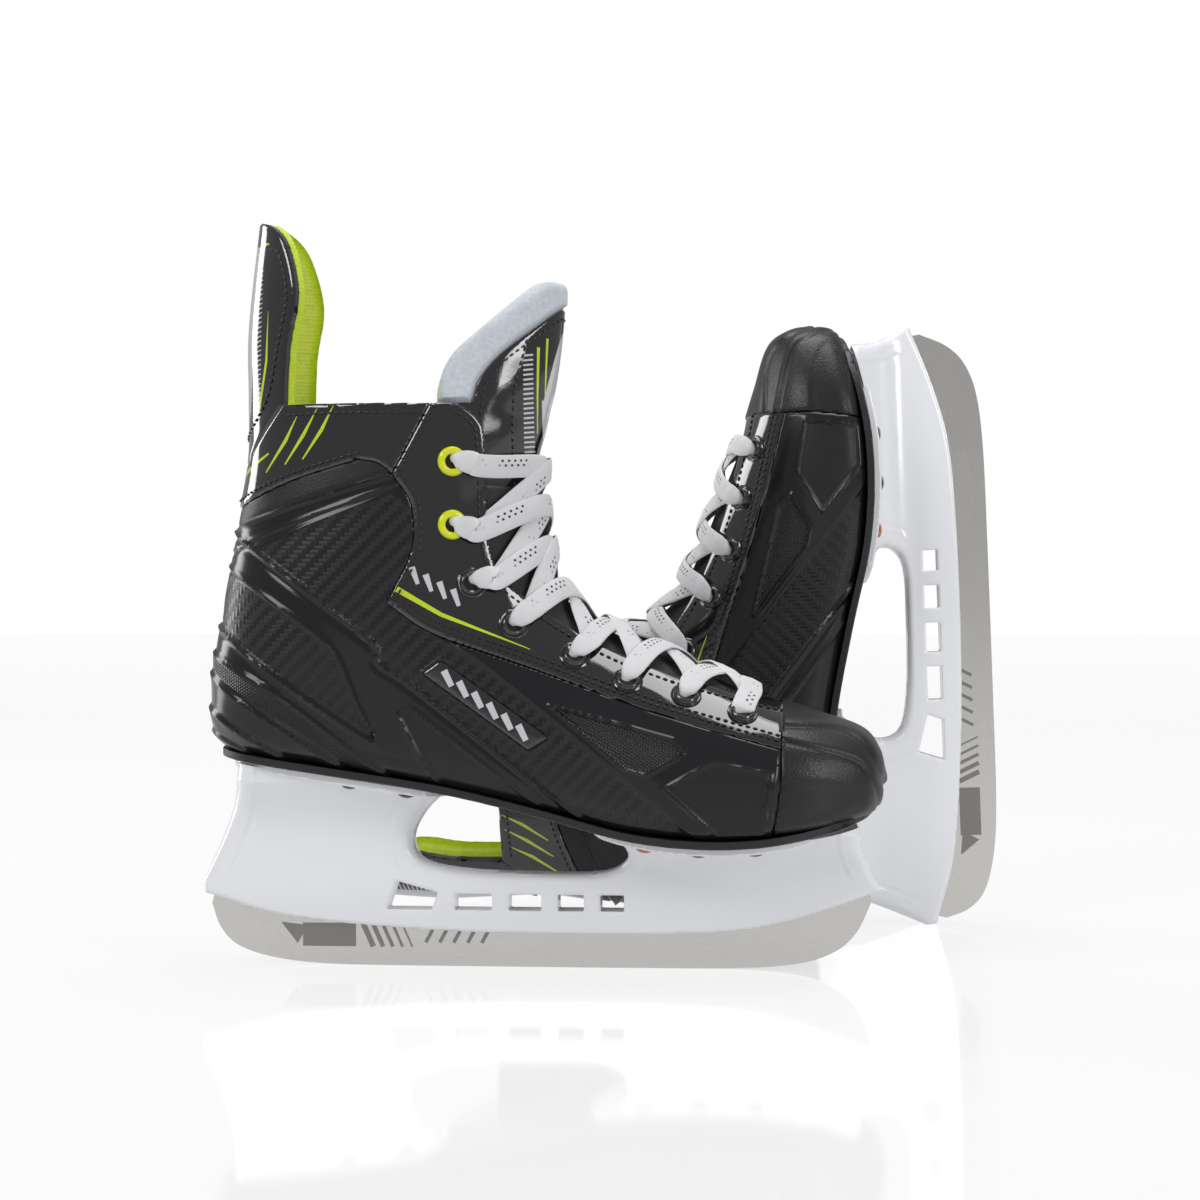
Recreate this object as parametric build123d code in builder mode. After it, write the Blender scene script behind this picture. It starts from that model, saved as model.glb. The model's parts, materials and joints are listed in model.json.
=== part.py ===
"""Pair of ice hockey skates: moulded boots on plastic blade holders with steel runners.

One skate is modelled in its own frame, in millimetres: +X to the toe, +Z up, the runner's flat on
z = 0 with its middle at x = 0, and -Y on the outer (lateral) side of the right foot. The right skate
stands on its runner. The left skate is its mirror image, and stands toe up behind it, on the heel tip
of its holder and the back of its boot.
"""

import math
import os

from build123d import *

os.makedirs("parts", exist_ok=True)

# ---------------------------------------------------------------- driving dimensions
RUNNER_THICK = 3.2
SLOT_THICK = 3.3
OUTSOLE_THICK = 3.5
BOARD_TOP = OUTSOLE_THICK + 2.5  # insole board, measured up from the underside of the outsole
FOOTBED_TOP = BOARD_TOP + 6.0
FLANGE_THICK = 3.5
SHELL_IN = 3.0  # depths below the outside of the boot: back of the shell and of the eyestays
COVER_IN = 5.0  # back of the tongue's cover and of the ankle pads
LINING_IN = 7.0  # back of the linings, so the wall of the foot's space
FELT_IN = 12.0  # back of the tongue's felt
BADGE_PROUD = 0.8
RIM_Z = 237.0
GUARD_BASE_Z = 238.0
GUARD_TOP_Z = 240.0
WIDE = 80.0  # half the length of a cut across the boot, wider than any part of it

EYELET_HOLE_R = 3.1
EYELET_BARREL_R = 3.9
EYELET_FLANGE_R = 6.0
EYELET_FLANGE_THICK = 1.0
EYELET_BARREL_DEPTH = 2.0
LACE_WIDTH = 9.0
LACE_THICK = 1.2
LACE_LIFT = 3.3  # middle of the lace above the outside of the boot, at the sides
CREST_LIFT = 3.0  # and over the tongue
BEND_SHARE = 0.6  # how far from the eyestay's edge to the crest a lace bends, seen from the side

RIVET_SHANK_R = 2.2
RIVET_HEAD_R = 4.0
RIVET_HEAD_THICK = 1.8
RIVET_BITE = 2.8  # how far a rivet goes up into the outsole
BOLT_R = 3.4
BOLT_HEAD_R = 5.5
BOLT_HEAD_THICK = 4.0
BORE_GAP = 0.05

# ---------------------------------------------------------------- the boot's outer form
# Cross sections from the toe tip back along the sole, round the heel and up the ankle, each in the
# plane through a point on the sole side and a point on the throat side:
# (sole side x, z), (throat side x, z), half width, share of the length where it is widest,
# squareness of the sole side, squareness of the throat side (2 is an ellipse).
FORM = [
    ((143.6, 76), (144.4, 86), 7, 0.50, 2.0, 2.0),
    ((141.5, 69), (142.4, 94), 20, 0.46, 2.6, 2.2),
    ((134, 65), (135.5, 102.5), 33, 0.42, 3.2, 2.3),
    ((115, 61), (116, 109.5), 45, 0.36, 4.0, 2.3),
    ((95, 58), (95, 117), 50, 0.33, 4.5, 2.1),
    ((68, 56), (67, 129), 51, 0.32, 4.5, 1.9),
    ((38, 58), (36, 142.5), 48, 0.32, 4.5, 1.8),
    ((4, 67), (16, 154.5), 43, 0.33, 4.5, 1.8),
    ((-35, 76), (6, 170), 41, 0.36, 4.5, 1.8),
    ((-78, 83), (3, 184), 42, 0.40, 4.0, 1.8),
    ((-118, 88), (1.5, 195), 44, 0.42, 3.2, 1.8),
    ((-139, 98), (1, 203), 45, 0.43, 2.6, 1.8),
    ((-141.5, 122), (1, 210), 45, 0.44, 2.4, 1.8),
    ((-137.5, 152), (1.5, 217), 44, 0.45, 2.3, 1.8),
    ((-131, 187), (4, 226), 42, 0.46, 2.3, 1.8),
    ((-126, 216), (6, 235), 40, 0.47, 2.3, 1.8),
    ((-126, 242), (9, 248), 38.5, 0.48, 2.2, 1.8),
    ((-126, 272), (12, 272), 36, 0.48, 2.2, 1.8),
    ((-121, 320), (15, 320), 31, 0.48, 2.2, 1.8),
]
TOE_SECTIONS = 4  # the sections that an inner form moves back from the toe tip
SECTION_SPANS = 10  # spans of the curve along one half section
INNER_TOP_RISE = 12.0  # how far an inner form runs out past the top of the outer one

# ---------------------------------------------------------------- side outlines, (x, z)
SOLE = [(-140, 90.5), (-84, 82.5), (-39, 75.5), (0, 67), (40, 57.5), (77, 55), (110, 58.5), (146, 68)]
SOLE_PLAN = [(-137.5, 0), (-134, 14), (-122, 26), (-100, 31), (-60, 31), (-25, 32), (10, 37.5),
             (45, 44), (75, 46), (100, 43.5), (122, 33), (135, 18), (139.5, 0)]
REAR_FLANGE_PLAN = [(-131, 0), (-129, 14), (-118, 23), (-95, 26.5), (-60, 27), (-46, 22), (-40, 0)]
FRONT_FLANGE_PLAN = [(20, 0), (27, 25), (55, 36), (85, 38), (110, 31), (127, 17), (133, 0)]

TOE_TOP, TOE_MID, TOE_LOW = (103, 125), (101, 96), (96, 50)
TOE_LINE = [TOE_TOP, TOE_MID, (100.5, 80), TOE_LOW]
QUARTER_BACK = [(-150, 188), (-129, 195), (-100, 206), (-72, 214)]
QUARTER_TOP = [(-72, 214), (-64, 212.5), (-58, 208)]
QUARTER_STEP = [(-58, 208), (-50, 195), (-50, 176), (-60, 155)]
EYESTAY_LOW = [(-60, 155), (-40, 142), (0, 128), (48, 111), (101, 96)]
EYESTAY_FRONT = [(102, 114), (92, 116), (56, 126), (30, 136), (12, 146), (-4, 157), (-15, 167), (-20, 182)]
EYESTAY_TOP = [(-20, 182), (-21, 221), (-24, 231), (-32, RIM_Z)]
COLLAR_SEAM = [(-43, RIM_Z), (-58, 208)]
GUARD_WEDGE = [(-145, 207), (-127, 212), (-119, 221), (-106, RIM_Z)]
GUARD_EDGE = [(-105, GUARD_TOP_Z), (-104.5, 262), (-101, 284), (-106, 304), (-113, 313), (-124, 318)]
TONGUE_EDGE = [(-40, RIM_Z), (-38, 190), (-28, 162), (-8, 144), (25, 127), (60, 114), (93, 104)]
TONGUE_SPLIT_FRONT, TONGUE_SPLIT_BACK = 238.5, 241.0  # underside of the tongue's top, front and back
TONGUE_COVER_EDGE = [(-25, 240), (-22, 248), (-14, 258), (-2, 268), (12, 279)]
TONGUE_FELT_EDGE = [(-39.5, TONGUE_SPLIT_BACK), (-37, 252), (-30, 262), (-11, 278), (5, 289), (20, 289)]
LINING_SPLIT = [(-12, 50), (-22, 160)]
ANKLE_PAD_CENTRE = (-68, 160)
ANKLE_PAD_R = 26.0
BADGE = [(-45, 126), (-38, 131), (6, 100), (-2, 95)]

HOLDER_REAR = [(-128, 84), (-131, 70), (-136, 57), (-145, 36)]
HOLDER_LOW = [(-139, 29.5), (-108, 21), (-52, 16), (0, 14.5), (50, 15), (84, 17), (109, 22.5), (139, 33)]
HOLDER_FRONT = [(142, 37), (137, 46), (133, 60)]
HOLDER_ARCH = [(-42, 74), (-50, 66), (-55, 55), (-50, 45), (-30, 41), (0, 40), (26, 40.5), (36, 46),
               (36, 53), (28, 58), (22, 61)]
REAR_FLARE = [(4.2, 14), (7.5, 30), (8.5, 45), (10.5, 58), (15, 68), (24, 80)]  # half width, height
FRONT_FLARE = [(4.2, 12), (7.5, 26), (8.5, 36), (12, 44), (20, 50), (33, 60)]
HOLDER_ABOVE = 100.0  # height of the uncut blanks, above the sole everywhere
WINDOW_LOW, WINDOW_HIGH = 24.5, 31.5
WINDOWS = [(-37, -21), (-14, 0), (7, 18), (25, 35)]
HEEL_WINDOW = [(-62, 37), (-44, 32), (-47, WINDOW_LOW), (-66, WINDOW_LOW)]

RUNNER_HEEL = [(-142.5, 26), (-138.5, 15.5), (-130, 7.5), (-112, 2.4), (-85, 0.3), (-30, 0)]
RUNNER_TOE = [(30, 0), (80, 0.4), (108, 2.6), (124, 8), (133, 16.5), (139, 29)]
RUNNER_TOP = [(138, 36), (109, 28.5), (84, 23), (50, 21), (0, 20.5), (-52, 22), (-108, 27), (-140, 35)]
TANG_HALF, TANG_TOP = 8.0, 34.0
BOLTS = [(-92, 62), (96, 44)]  # x of each runner bolt and the height of its head's underside
BOLT_LOW = 27.0

LIME_EYELETS = [(-34, 213), (-34, 187)]
BLACK_EYELETS = [(-26, 163), (-9, 146), (16, 133), (38, 123), (62, 117), (85, 110)]
COPPER_RIVETS = [(-104, 19), (45, 27)]  # x and distance from the middle
BLACK_RIVETS = [(-79, 20.5), (-55, 20.5), (67, 29), (90, 28), (111, 21)]
# where each lace crossing passes over the eyestay's edge and the middle of the tongue
LACE_EDGES = [(-21, 213), (-20.5, 187), (-14, 167), (-1, 155), (22, 140), (42, 131), (65, 123.5), (88, 117)]


# ---------------------------------------------------------------- shared shapes
def half_section(station, depth, back):
    """The +Y half of one cross section, set in by depth and moved back from the toe."""
    (low_x, low_z), (top_x, top_z), half, widest, low_n, top_n = station
    length = math.hypot(top_x - low_x, top_z - low_z)
    along = ((top_x - low_x) / length, 0, (top_z - low_z) / length)
    plane = Plane(origin=(low_x - back, 0, low_z), x_dir=along, z_dir=(-along[2], 0, along[0]))
    middle = widest * length
    curve = []
    for k in range(SECTION_SPANS + 1):
        turn = math.pi * (k / SECTION_SPANS - 0.5)
        up, out = math.sin(turn), max(math.cos(turn), 0.0)
        power = low_n if up < 0 else top_n
        reach = max((middle if up < 0 else length - middle) - depth, 1.5)
        radius = (abs(up) ** power + out**power) ** (-1 / power)
        curve.append((middle + reach * up * radius, max(half - depth, 2.5) * out * radius))
    with BuildSketch(plane) as section:
        with BuildLine():
            Spline(*curve, tangents=[(0, 1), (0, -1)])
            Line(curve[-1], curve[0])
        make_face()
    return section.sketch.face()


def half_form(depth):
    """The +Y half of the boot as a solid block, its outside set in by depth."""
    stations = list(FORM)
    if depth > 0:
        (low_x, low_z), (top_x, top_z), *rest = stations[-1]
        stations[-1] = ((low_x, low_z + INNER_TOP_RISE), (top_x, top_z + INNER_TOP_RISE), *rest)
    sections = [half_section(station, depth, depth * max(0, 1 - k / TOE_SECTIONS))
                for k, station in enumerate(stations)]
    with BuildPart() as block:
        loft(sections, ruled=True)
    return block.part


FORMS = {depth: half_form(depth) for depth in (-BADGE_PROUD, 0, SHELL_IN, COVER_IN, LINING_IN, FELT_IN)}


def side_face(*runs):
    """A face in the side view from runs of points: two make a line, more a curve; gaps are closed."""
    with BuildSketch(Plane.XZ) as face:
        with BuildLine():
            for k, run in enumerate(runs):
                if len(run) == 2:
                    Line(*run)
                else:
                    Spline(*run)
                following = runs[(k + 1) % len(runs)][0]
                if math.dist(run[-1], following) > 1e-6:
                    Line(run[-1], following)
        make_face()
    return face.sketch


def raised(points, rise):
    return [(x, z + rise) for x, z in points]


def sole_z(x):
    """Height of the outsole's underside at x."""
    for (x0, z0), (x1, z1) in zip(SOLE, SOLE[1:]):
        if x0 <= x <= x1:
            return z0 + (z1 - z0) * (x - x0) / (x1 - x0)
    return SOLE[-1][1]


def below_sole(rise):
    """Side face of everything under the outsole's underside, raised by rise."""
    line = raised(SOLE, rise)
    return side_face(line, [(160, line[-1][1]), (160, 0)], [(-160, 0), (-160, line[0][1])])


def layer(outer, inner, region, floor=None, both=True):
    """The half boot wall between two depths inside a side face, mirrored if both, above a floor."""
    with BuildPart() as wall:
        add(FORMS[outer])
        extrude(region, amount=WIDE, both=True, mode=Mode.INTERSECT)
        add(FORMS[inner], mode=Mode.SUBTRACT)
        if floor is not None:
            extrude(below_sole(floor), amount=WIDE, both=True, mode=Mode.SUBTRACT)
        if both:
            mirror(about=Plane.XZ)
    return wall


def sole_layer(depth, low, high):
    """A full-width plate inside the boot, between two heights above the outsole's underside."""
    with BuildPart() as plate:
        add(FORMS[depth])
        extrude(below_sole(high), amount=WIDE, both=True, mode=Mode.INTERSECT)
        extrude(below_sole(low), amount=WIDE, both=True, mode=Mode.SUBTRACT)
        mirror(about=Plane.XZ)
    return plate


def surface_plane(x, z):
    """Plane on the outside of the +Y half of the boot, seen at (x, z) from the side."""
    hits = FORMS[0].find_intersection_points(Axis((x, WIDE, z), (0, -1, 0)))
    point, normal = max(hits, key=lambda hit: hit[0].Y)
    return Plane(origin=point, x_dir=(1, 0, 0), z_dir=normal if normal.Y > 0 else -normal)


def mirrored(piece):
    with BuildPart() as copy:
        add(mirror(piece.part, about=Plane.XZ, mode=Mode.PRIVATE))
    return copy


pieces = {}

# ---------------------------------------------------------------- runner
with BuildPart() as runner:
    extrude(side_face([(-140, 35), (-142.5, 26)], RUNNER_HEEL, [(-30, 0), (30, 0)], RUNNER_TOE, RUNNER_TOP),
            amount=RUNNER_THICK / 2, both=True)
    for tang_x, _ in BOLTS:
        with BuildSketch(Plane.XZ):
            with Locations((tang_x, TANG_TOP / 2 + 10)):
                Rectangle(2 * TANG_HALF, TANG_TOP - 20)
        extrude(amount=RUNNER_THICK / 2, both=True)
pieces["runner"] = runner

# ---------------------------------------------------------------- runner bolts, rivets
with BuildPart() as runner_bolts:
    for bolt_x, head_z in BOLTS:
        with BuildSketch(Plane.XY.offset(BOLT_LOW)):
            with Locations((bolt_x, 0)):
                Circle(BOLT_R)
        extrude(amount=head_z - BOLT_LOW)
        with BuildSketch(Plane.XY.offset(head_z)):
            with Locations((bolt_x, 0)):
                RegularPolygon(BOLT_HEAD_R, 6)
        extrude(amount=BOLT_HEAD_THICK)
    add(runner.part, mode=Mode.SUBTRACT)
pieces["runner_bolts"] = runner_bolts


def rivets(places):
    """Dome-headed rivets up through the flange into the outsole, both sides."""
    with BuildPart() as group:
        for x, y in places:
            flange_z = sole_z(x) - FLANGE_THICK
            with BuildSketch(Plane.XY.offset(flange_z - 0.4)):
                with Locations((x, y), (x, -y)):
                    Circle(RIVET_SHANK_R)
            extrude(amount=FLANGE_THICK + RIVET_BITE)
            with BuildSketch(Plane.XY.offset(flange_z)):
                with Locations((x, y), (x, -y)):
                    Circle(RIVET_HEAD_R)
            extrude(amount=-RIVET_HEAD_THICK, taper=25)
    return group


pieces["rivets_copper"] = rivets(COPPER_RIVETS)
pieces["rivets_black"] = rivets(BLACK_RIVETS)


def cut_fasteners(names):
    """Takes the bores of the named fasteners out of the part being built."""
    for name in names:
        add(pieces[name].part, mode=Mode.SUBTRACT)


# ---------------------------------------------------------------- blade holder
def tower_blank(flare, start, end):
    """The holder's side outline between two x, widening upwards as the flare says."""
    outline = side_face([(-128, HOLDER_ABOVE), (-128, 84)], HOLDER_REAR, [(-145, 36), (-144.5, 31)],
                        HOLDER_LOW, [(143, 34.5), (142, 37)], HOLDER_FRONT, [(133, 60), (133, HOLDER_ABOVE)])
    with BuildPart() as blank:
        extrude(outline, amount=WIDE, both=True)
        with BuildSketch(Plane.YZ.offset(start)):
            with BuildLine():
                Line((0, 0), (flare[0][0], 0))
                Line((flare[0][0], 0), flare[0])
                Spline(*flare)
                Line(flare[-1], (flare[-1][0], HOLDER_ABOVE))
                Line((flare[-1][0], HOLDER_ABOVE), (0, HOLDER_ABOVE))
                Line((0, HOLDER_ABOVE), (0, 0))
            make_face()
            mirror(about=Plane.YZ)
        extrude(amount=end - start, mode=Mode.INTERSECT)
    return blank


def plan_plate(plan, low, high):
    """A plate with the plan outline, between two heights above the outsole's underside."""
    with BuildPart() as plate:
        with BuildSketch():
            with BuildLine():
                Spline(*plan)
                Line(plan[-1], plan[0])
            make_face()
            mirror(about=Plane.XZ)
        extrude(amount=HOLDER_ABOVE)
        extrude(below_sole(high), amount=WIDE, both=True, mode=Mode.INTERSECT)
        extrude(below_sole(low), amount=WIDE, both=True, mode=Mode.SUBTRACT)
    return plate


with BuildPart() as holder:
    add(tower_blank(REAR_FLARE, -150, 0).part)
    add(tower_blank(FRONT_FLARE, 0, 150).part)
    extrude(side_face([(-42, 110), (-42, 74)], HOLDER_ARCH, [(22, 61), (22, 110)]),
            amount=WIDE, both=True, mode=Mode.SUBTRACT)
    extrude(below_sole(0), amount=WIDE, both=True, mode=Mode.INTERSECT)
    add(plan_plate(REAR_FLANGE_PLAN, -FLANGE_THICK, 0).part)
    add(plan_plate(FRONT_FLANGE_PLAN, -FLANGE_THICK, 0).part)
    for window_x, window_end in WINDOWS:
        extrude(side_face([(window_x, WINDOW_LOW), (window_end, WINDOW_LOW)],
                          [(window_end, WINDOW_HIGH), (window_x, WINDOW_HIGH)]),
                amount=WIDE, both=True, mode=Mode.SUBTRACT)
    extrude(side_face(HEEL_WINDOW[:2], HEEL_WINDOW[2:]), amount=WIDE, both=True, mode=Mode.SUBTRACT)
    extrude(side_face([(-150, 38), (-150, -5)], [(150, -5), (150, 38)], RUNNER_TOP),
            amount=SLOT_THICK / 2, both=True, mode=Mode.SUBTRACT)
    for bolt_x, head_z in BOLTS:
        with BuildSketch(Plane.XY.offset(20)):
            with Locations((bolt_x, 0)):
                Circle(BOLT_R + BORE_GAP)
        extrude(amount=head_z - 20, mode=Mode.SUBTRACT)
        with BuildSketch(Plane.XY.offset(head_z)):
            with Locations((bolt_x, 0)):
                Circle(BOLT_HEAD_R + 4 * BORE_GAP)
        extrude(amount=HOLDER_ABOVE - head_z, mode=Mode.SUBTRACT)
        with BuildSketch(Plane.XZ):
            with Locations((bolt_x, TANG_TOP / 2 + 10)):
                Rectangle(2 * TANG_HALF + 0.2, TANG_TOP - 20)
        extrude(amount=SLOT_THICK / 2, both=True, mode=Mode.SUBTRACT)
    cut_fasteners(["rivets_copper", "rivets_black"])
pieces["holder"] = holder

# ---------------------------------------------------------------- sole
with BuildPart() as outsole:
    add(plan_plate(SOLE_PLAN, 0, OUTSOLE_THICK).part)
    cut_fasteners(["rivets_copper", "rivets_black"])
pieces["outsole"] = outsole

pieces["insole_board"] = sole_layer(SHELL_IN, OUTSOLE_THICK, BOARD_TOP)
pieces["footbed"] = sole_layer(LINING_IN, BOARD_TOP, FOOTBED_TOP)

# ---------------------------------------------------------------- boot shell
quarter_region = side_face(QUARTER_BACK, QUARTER_TOP, QUARTER_STEP, EYESTAY_LOW, TOE_LINE[1:], [TOE_LOW, (-150, 50)])
toe_region = side_face(TOE_LINE[:2], TOE_LINE[1:], [(170, 50), (170, 125)])
eyestay_region = side_face([TOE_MID, (102, 114)], EYESTAY_FRONT, EYESTAY_TOP, COLLAR_SEAM,
                           QUARTER_STEP, EYESTAY_LOW)
collar_region = side_face(QUARTER_BACK, QUARTER_TOP, COLLAR_SEAM[::-1], [(-43, RIM_Z), (-106, RIM_Z)],
                          GUARD_WEDGE[::-1], [(-145, 207), (-150, 207)])

pieces["quarter_medial"] = layer(0, SHELL_IN, quarter_region, OUTSOLE_THICK, both=False)
pieces["quarter_lateral"] = mirrored(pieces["quarter_medial"])
pieces["toe_cap"] = layer(0, SHELL_IN, toe_region, OUTSOLE_THICK)
pieces["collar"] = layer(0, SHELL_IN, collar_region)

# ---------------------------------------------------------------- eyelets and eyestays
def eyelets(places):
    """Flanged rings set square to the boot's surface, both sides."""
    with BuildPart() as rings:
        for x, z in places:
            seat = surface_plane(x, z)
            with BuildSketch(seat):
                Circle(EYELET_FLANGE_R)
            extrude(amount=EYELET_FLANGE_THICK)
            with BuildSketch(seat):
                Circle(EYELET_BARREL_R)
            extrude(amount=-EYELET_BARREL_DEPTH)
            with BuildSketch(seat.offset(EYELET_FLANGE_THICK)):
                Circle(EYELET_HOLE_R)
            extrude(amount=-WIDE / 8, mode=Mode.SUBTRACT)
        mirror(about=Plane.XZ)
    return rings


pieces["eyelets_lime"] = eyelets(LIME_EYELETS)
pieces["eyelets_black"] = eyelets(BLACK_EYELETS)

with BuildPart() as eyestay_medial:
    add(layer(0, SHELL_IN, eyestay_region, both=False).part)
    for x, z in LIME_EYELETS + BLACK_EYELETS:
        seat = surface_plane(x, z)
        with BuildSketch(seat):
            Circle(EYELET_FLANGE_R + BORE_GAP)
        extrude(amount=SHELL_IN, mode=Mode.SUBTRACT)
        with BuildSketch(seat.offset(SHELL_IN)):
            Circle(EYELET_BARREL_R + BORE_GAP)
        extrude(amount=-3 * SHELL_IN, mode=Mode.SUBTRACT)
pieces["eyestay_medial"] = eyestay_medial
pieces["eyestay_lateral"] = mirrored(eyestay_medial)

# ---------------------------------------------------------------- badge on the outer side
with BuildPart() as medial_badge:
    add(layer(-BADGE_PROUD, 0, side_face(BADGE[:2], BADGE[2:]), both=False).part)
pieces["side_badge"] = mirrored(medial_badge)

# ---------------------------------------------------------------- tendon guard
wedge_region = side_face(GUARD_WEDGE, [(-106, GUARD_BASE_Z), (-145, GUARD_BASE_Z)])
guard_region = side_face(GUARD_EDGE, [(-145, 318), (-145, GUARD_TOP_Z)])
pieces["guard_base"] = layer(0, SHELL_IN, wedge_region)
pieces["guard_top"] = layer(0, SHELL_IN, guard_region)
pieces["guard_lining"] = layer(SHELL_IN, LINING_IN, guard_region)

# ---------------------------------------------------------------- tongue
tongue_region = side_face(TONGUE_EDGE, [(93, 104), (97, 135)], [(40, 165), (30, RIM_Z)])
cover_region = side_face(TONGUE_COVER_EDGE, [(30, 279), (30, TONGUE_SPLIT_FRONT)])
felt_region = side_face(TONGUE_FELT_EDGE, [(30, 289), (30, TONGUE_SPLIT_FRONT)],
                        [(6, TONGUE_SPLIT_FRONT), (-39.5, TONGUE_SPLIT_BACK)])
pieces["tongue_cover"] = layer(SHELL_IN, COVER_IN, tongue_region)
pieces["tongue_felt"] = layer(COVER_IN, FELT_IN, tongue_region)
pieces["tongue_top_cover"] = layer(SHELL_IN, COVER_IN, cover_region)
with BuildPart() as tongue_top_felt:
    add(layer(SHELL_IN, FELT_IN, felt_region).part)
    add(pieces["tongue_top_cover"].part, mode=Mode.SUBTRACT)
pieces["tongue_top_felt"] = tongue_top_felt

# ---------------------------------------------------------------- linings and ankle pads
behind_tongue = side_face([(-155, RIM_Z), (-40, RIM_Z)], TONGUE_EDGE, [(97, 135), (170, 135)],
                          [(170, 40), (-155, 40)])
with BuildPart() as lining:
    add(layer(SHELL_IN, LINING_IN, behind_tongue, BOARD_TOP).part)
with BuildPart() as ankle_pads:
    add(layer(SHELL_IN, COVER_IN, behind_tongue).part)
    with BuildSketch(Plane.XZ):
        with Locations(ANKLE_PAD_CENTRE):
            Circle(ANKLE_PAD_R)
    extrude(amount=WIDE, both=True, mode=Mode.INTERSECT)
pieces["ankle_pads"] = ankle_pads

rear_side = side_face(LINING_SPLIT, [(-22, 260), (-160, 260)], [(-160, 40), (-12, 40)])
with BuildPart() as ankle_lining:
    add(lining.part)
    extrude(rear_side, amount=WIDE, both=True, mode=Mode.INTERSECT)
    add(ankle_pads.part, mode=Mode.SUBTRACT)
pieces["ankle_lining"] = ankle_lining
with BuildPart() as vamp_lining:
    add(lining.part)
    extrude(rear_side, amount=WIDE, both=True, mode=Mode.SUBTRACT)
pieces["vamp_lining"] = vamp_lining


# ---------------------------------------------------------------- laces
def between(a, b, share):
    """The side point a share of the way from a to b."""
    return a[0] + (b[0] - a[0]) * share, a[1] + (b[1] - a[1]) * share


def over_side(x, z, side):
    """Lace point over one side of the boot, seen at (x, z), with the direction out of the boot."""
    seat = surface_plane(x, z)
    normal = Vector(seat.z_dir.X, side * seat.z_dir.Y, seat.z_dir.Z)
    point = Vector(seat.origin.X, side * seat.origin.Y, seat.origin.Z)
    return point + normal * LACE_LIFT, normal


def over_tongue(x, z):
    """Lace point over the middle of the tongue, straight out from the eyestay edge at (x, z)."""
    slope = math.radians(65 if x > 0 else max(5, 65 + 3 * x))
    outward = Vector(math.cos(slope), 0, math.sin(slope))
    start = Vector(x, 1, z) + outward * WIDE
    hits = FORMS[0].find_intersection_points(Axis(tuple(start), tuple(outward * -1)))
    point = max((hit[0] for hit in hits), key=lambda p: p.dot(outward))
    return Vector(point.X, 0, point.Z) + outward * CREST_LIFT, outward


def lace_run(start, end):
    """Sketch plane and length of a flat straight run between two lace points."""
    along = end[0] - start[0]
    across = (start[1] + end[1]).cross(along)
    return Plane(origin=(start[0] + end[0]) * 0.5, x_dir=along, z_dir=along.cross(across)), along.length


def over_bend(edge, crest, side):
    """Lace point between the eyestay's edge and the crest of the tongue."""
    top = crest[0] - crest[1] * CREST_LIFT
    return over_side(*between(edge, (top.X, top.Z), BEND_SHARE), side)


HOLES = LIME_EYELETS + BLACK_EYELETS
with BuildPart() as lace:
    crossings = []
    for k in range(len(HOLES) - 1):
        middle = between(LACE_EDGES[k], LACE_EDGES[k + 1], 0.5)
        crest = over_tongue(*middle)
        far_edge = between(middle, LACE_EDGES[k + 1], 0.5)
        for side in (1, -1):
            crossings.append([over_side(*HOLES[k], side), over_side(*LACE_EDGES[k], side),
                              over_bend(LACE_EDGES[k], crest, side), crest,
                              over_bend(far_edge, crest, -side), over_side(*far_edge, -side)])
    toe_crest = over_tongue(*LACE_EDGES[-1])
    for side in (1, -1):
        crossings.append([over_side(*HOLES[-1], side), over_side(*LACE_EDGES[-1], side),
                          over_bend(LACE_EDGES[-1], toe_crest, side), toe_crest])
    for crossing in crossings:
        for start, end in zip(crossing, crossing[1:]):
            run, length = lace_run(start, end)
            with BuildSketch(run.offset(-LACE_THICK / 2)):
                Rectangle(length + LACE_THICK, LACE_WIDTH)
            extrude(amount=LACE_THICK)
    for under in ("tongue_cover", "tongue_felt", "eyelets_black"):
        add(pieces[under].part, mode=Mode.SUBTRACT)
with BuildPart() as whole_lace:
    add(lace.part.solids().sort_by(SortBy.VOLUME)[-1])
pieces["lace"] = whole_lace

# ---------------------------------------------------------------- placing the pair
TIP_X, TIP_Z = -144.9, 33.0  # the two points that the upright left skate stands on
HEEL_X, HEEL_Z = -141.8, 118.0
LEAN = math.degrees(math.atan2(HEEL_X - TIP_X, HEEL_Z - TIP_Z))
LEFT_BLADE_X, LEFT_Y = 203.0, 140.0

left_turn = Location((0, 0, 0), (0, -90 - LEAN, 0))


def bottom_of(shapes):
    return min(shape.bounding_box().min.Z for shape in shapes)


left_pieces = {name: mirror(p.part, about=Plane.XZ, mode=Mode.PRIVATE).moved(left_turn)
               for name, p in pieces.items()}
left_rise = -bottom_of(left_pieces.values())
left_place = Location((LEFT_BLADE_X, LEFT_Y, left_rise))
left_pieces = {name: shape.moved(left_place) for name, shape in left_pieces.items()}

everything = [p.part for p in pieces.values()] + list(left_pieces.values())
boxes = [shape.bounding_box() for shape in everything]
low_x, high_x = min(b.min.X for b in boxes), max(b.max.X for b in boxes)
low_y, high_y = min(b.min.Y for b in boxes), max(b.max.Y for b in boxes)
pair_centre = Location((-(low_x + high_x) / 2, -(low_y + high_y) / 2, 0))

for name, piece in pieces.items():
    for foot, shape in (("right", piece.part), ("left", left_pieces[name])):
        placed = shape.moved(pair_centre)
        placed.label = f"{foot}_{name}"
        export_step(placed, f"parts/{foot}_{name}.step")

print("lean of the left skate, degrees", round(LEAN, 3), "rise", round(left_rise, 3))
print("pair centre", round((low_x + high_x) / 2, 3), round((low_y + high_y) / 2, 3))
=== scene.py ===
"""Pair of ice hockey skates: moulded and patent boots, laces, white holders and steel runners.

Every piece is worked out in one skate's own millimetres (+X toe, +Z up, runner flat on z = 0, -Y the
outer side of the right foot), then placed for both feet. The left foot's copy is mirrored.
"""
import json
import math

import bmesh
import bpy
import numpy as np
from mathutils import Matrix, Vector
from mathutils.bvhtree import BVHTree


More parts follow.
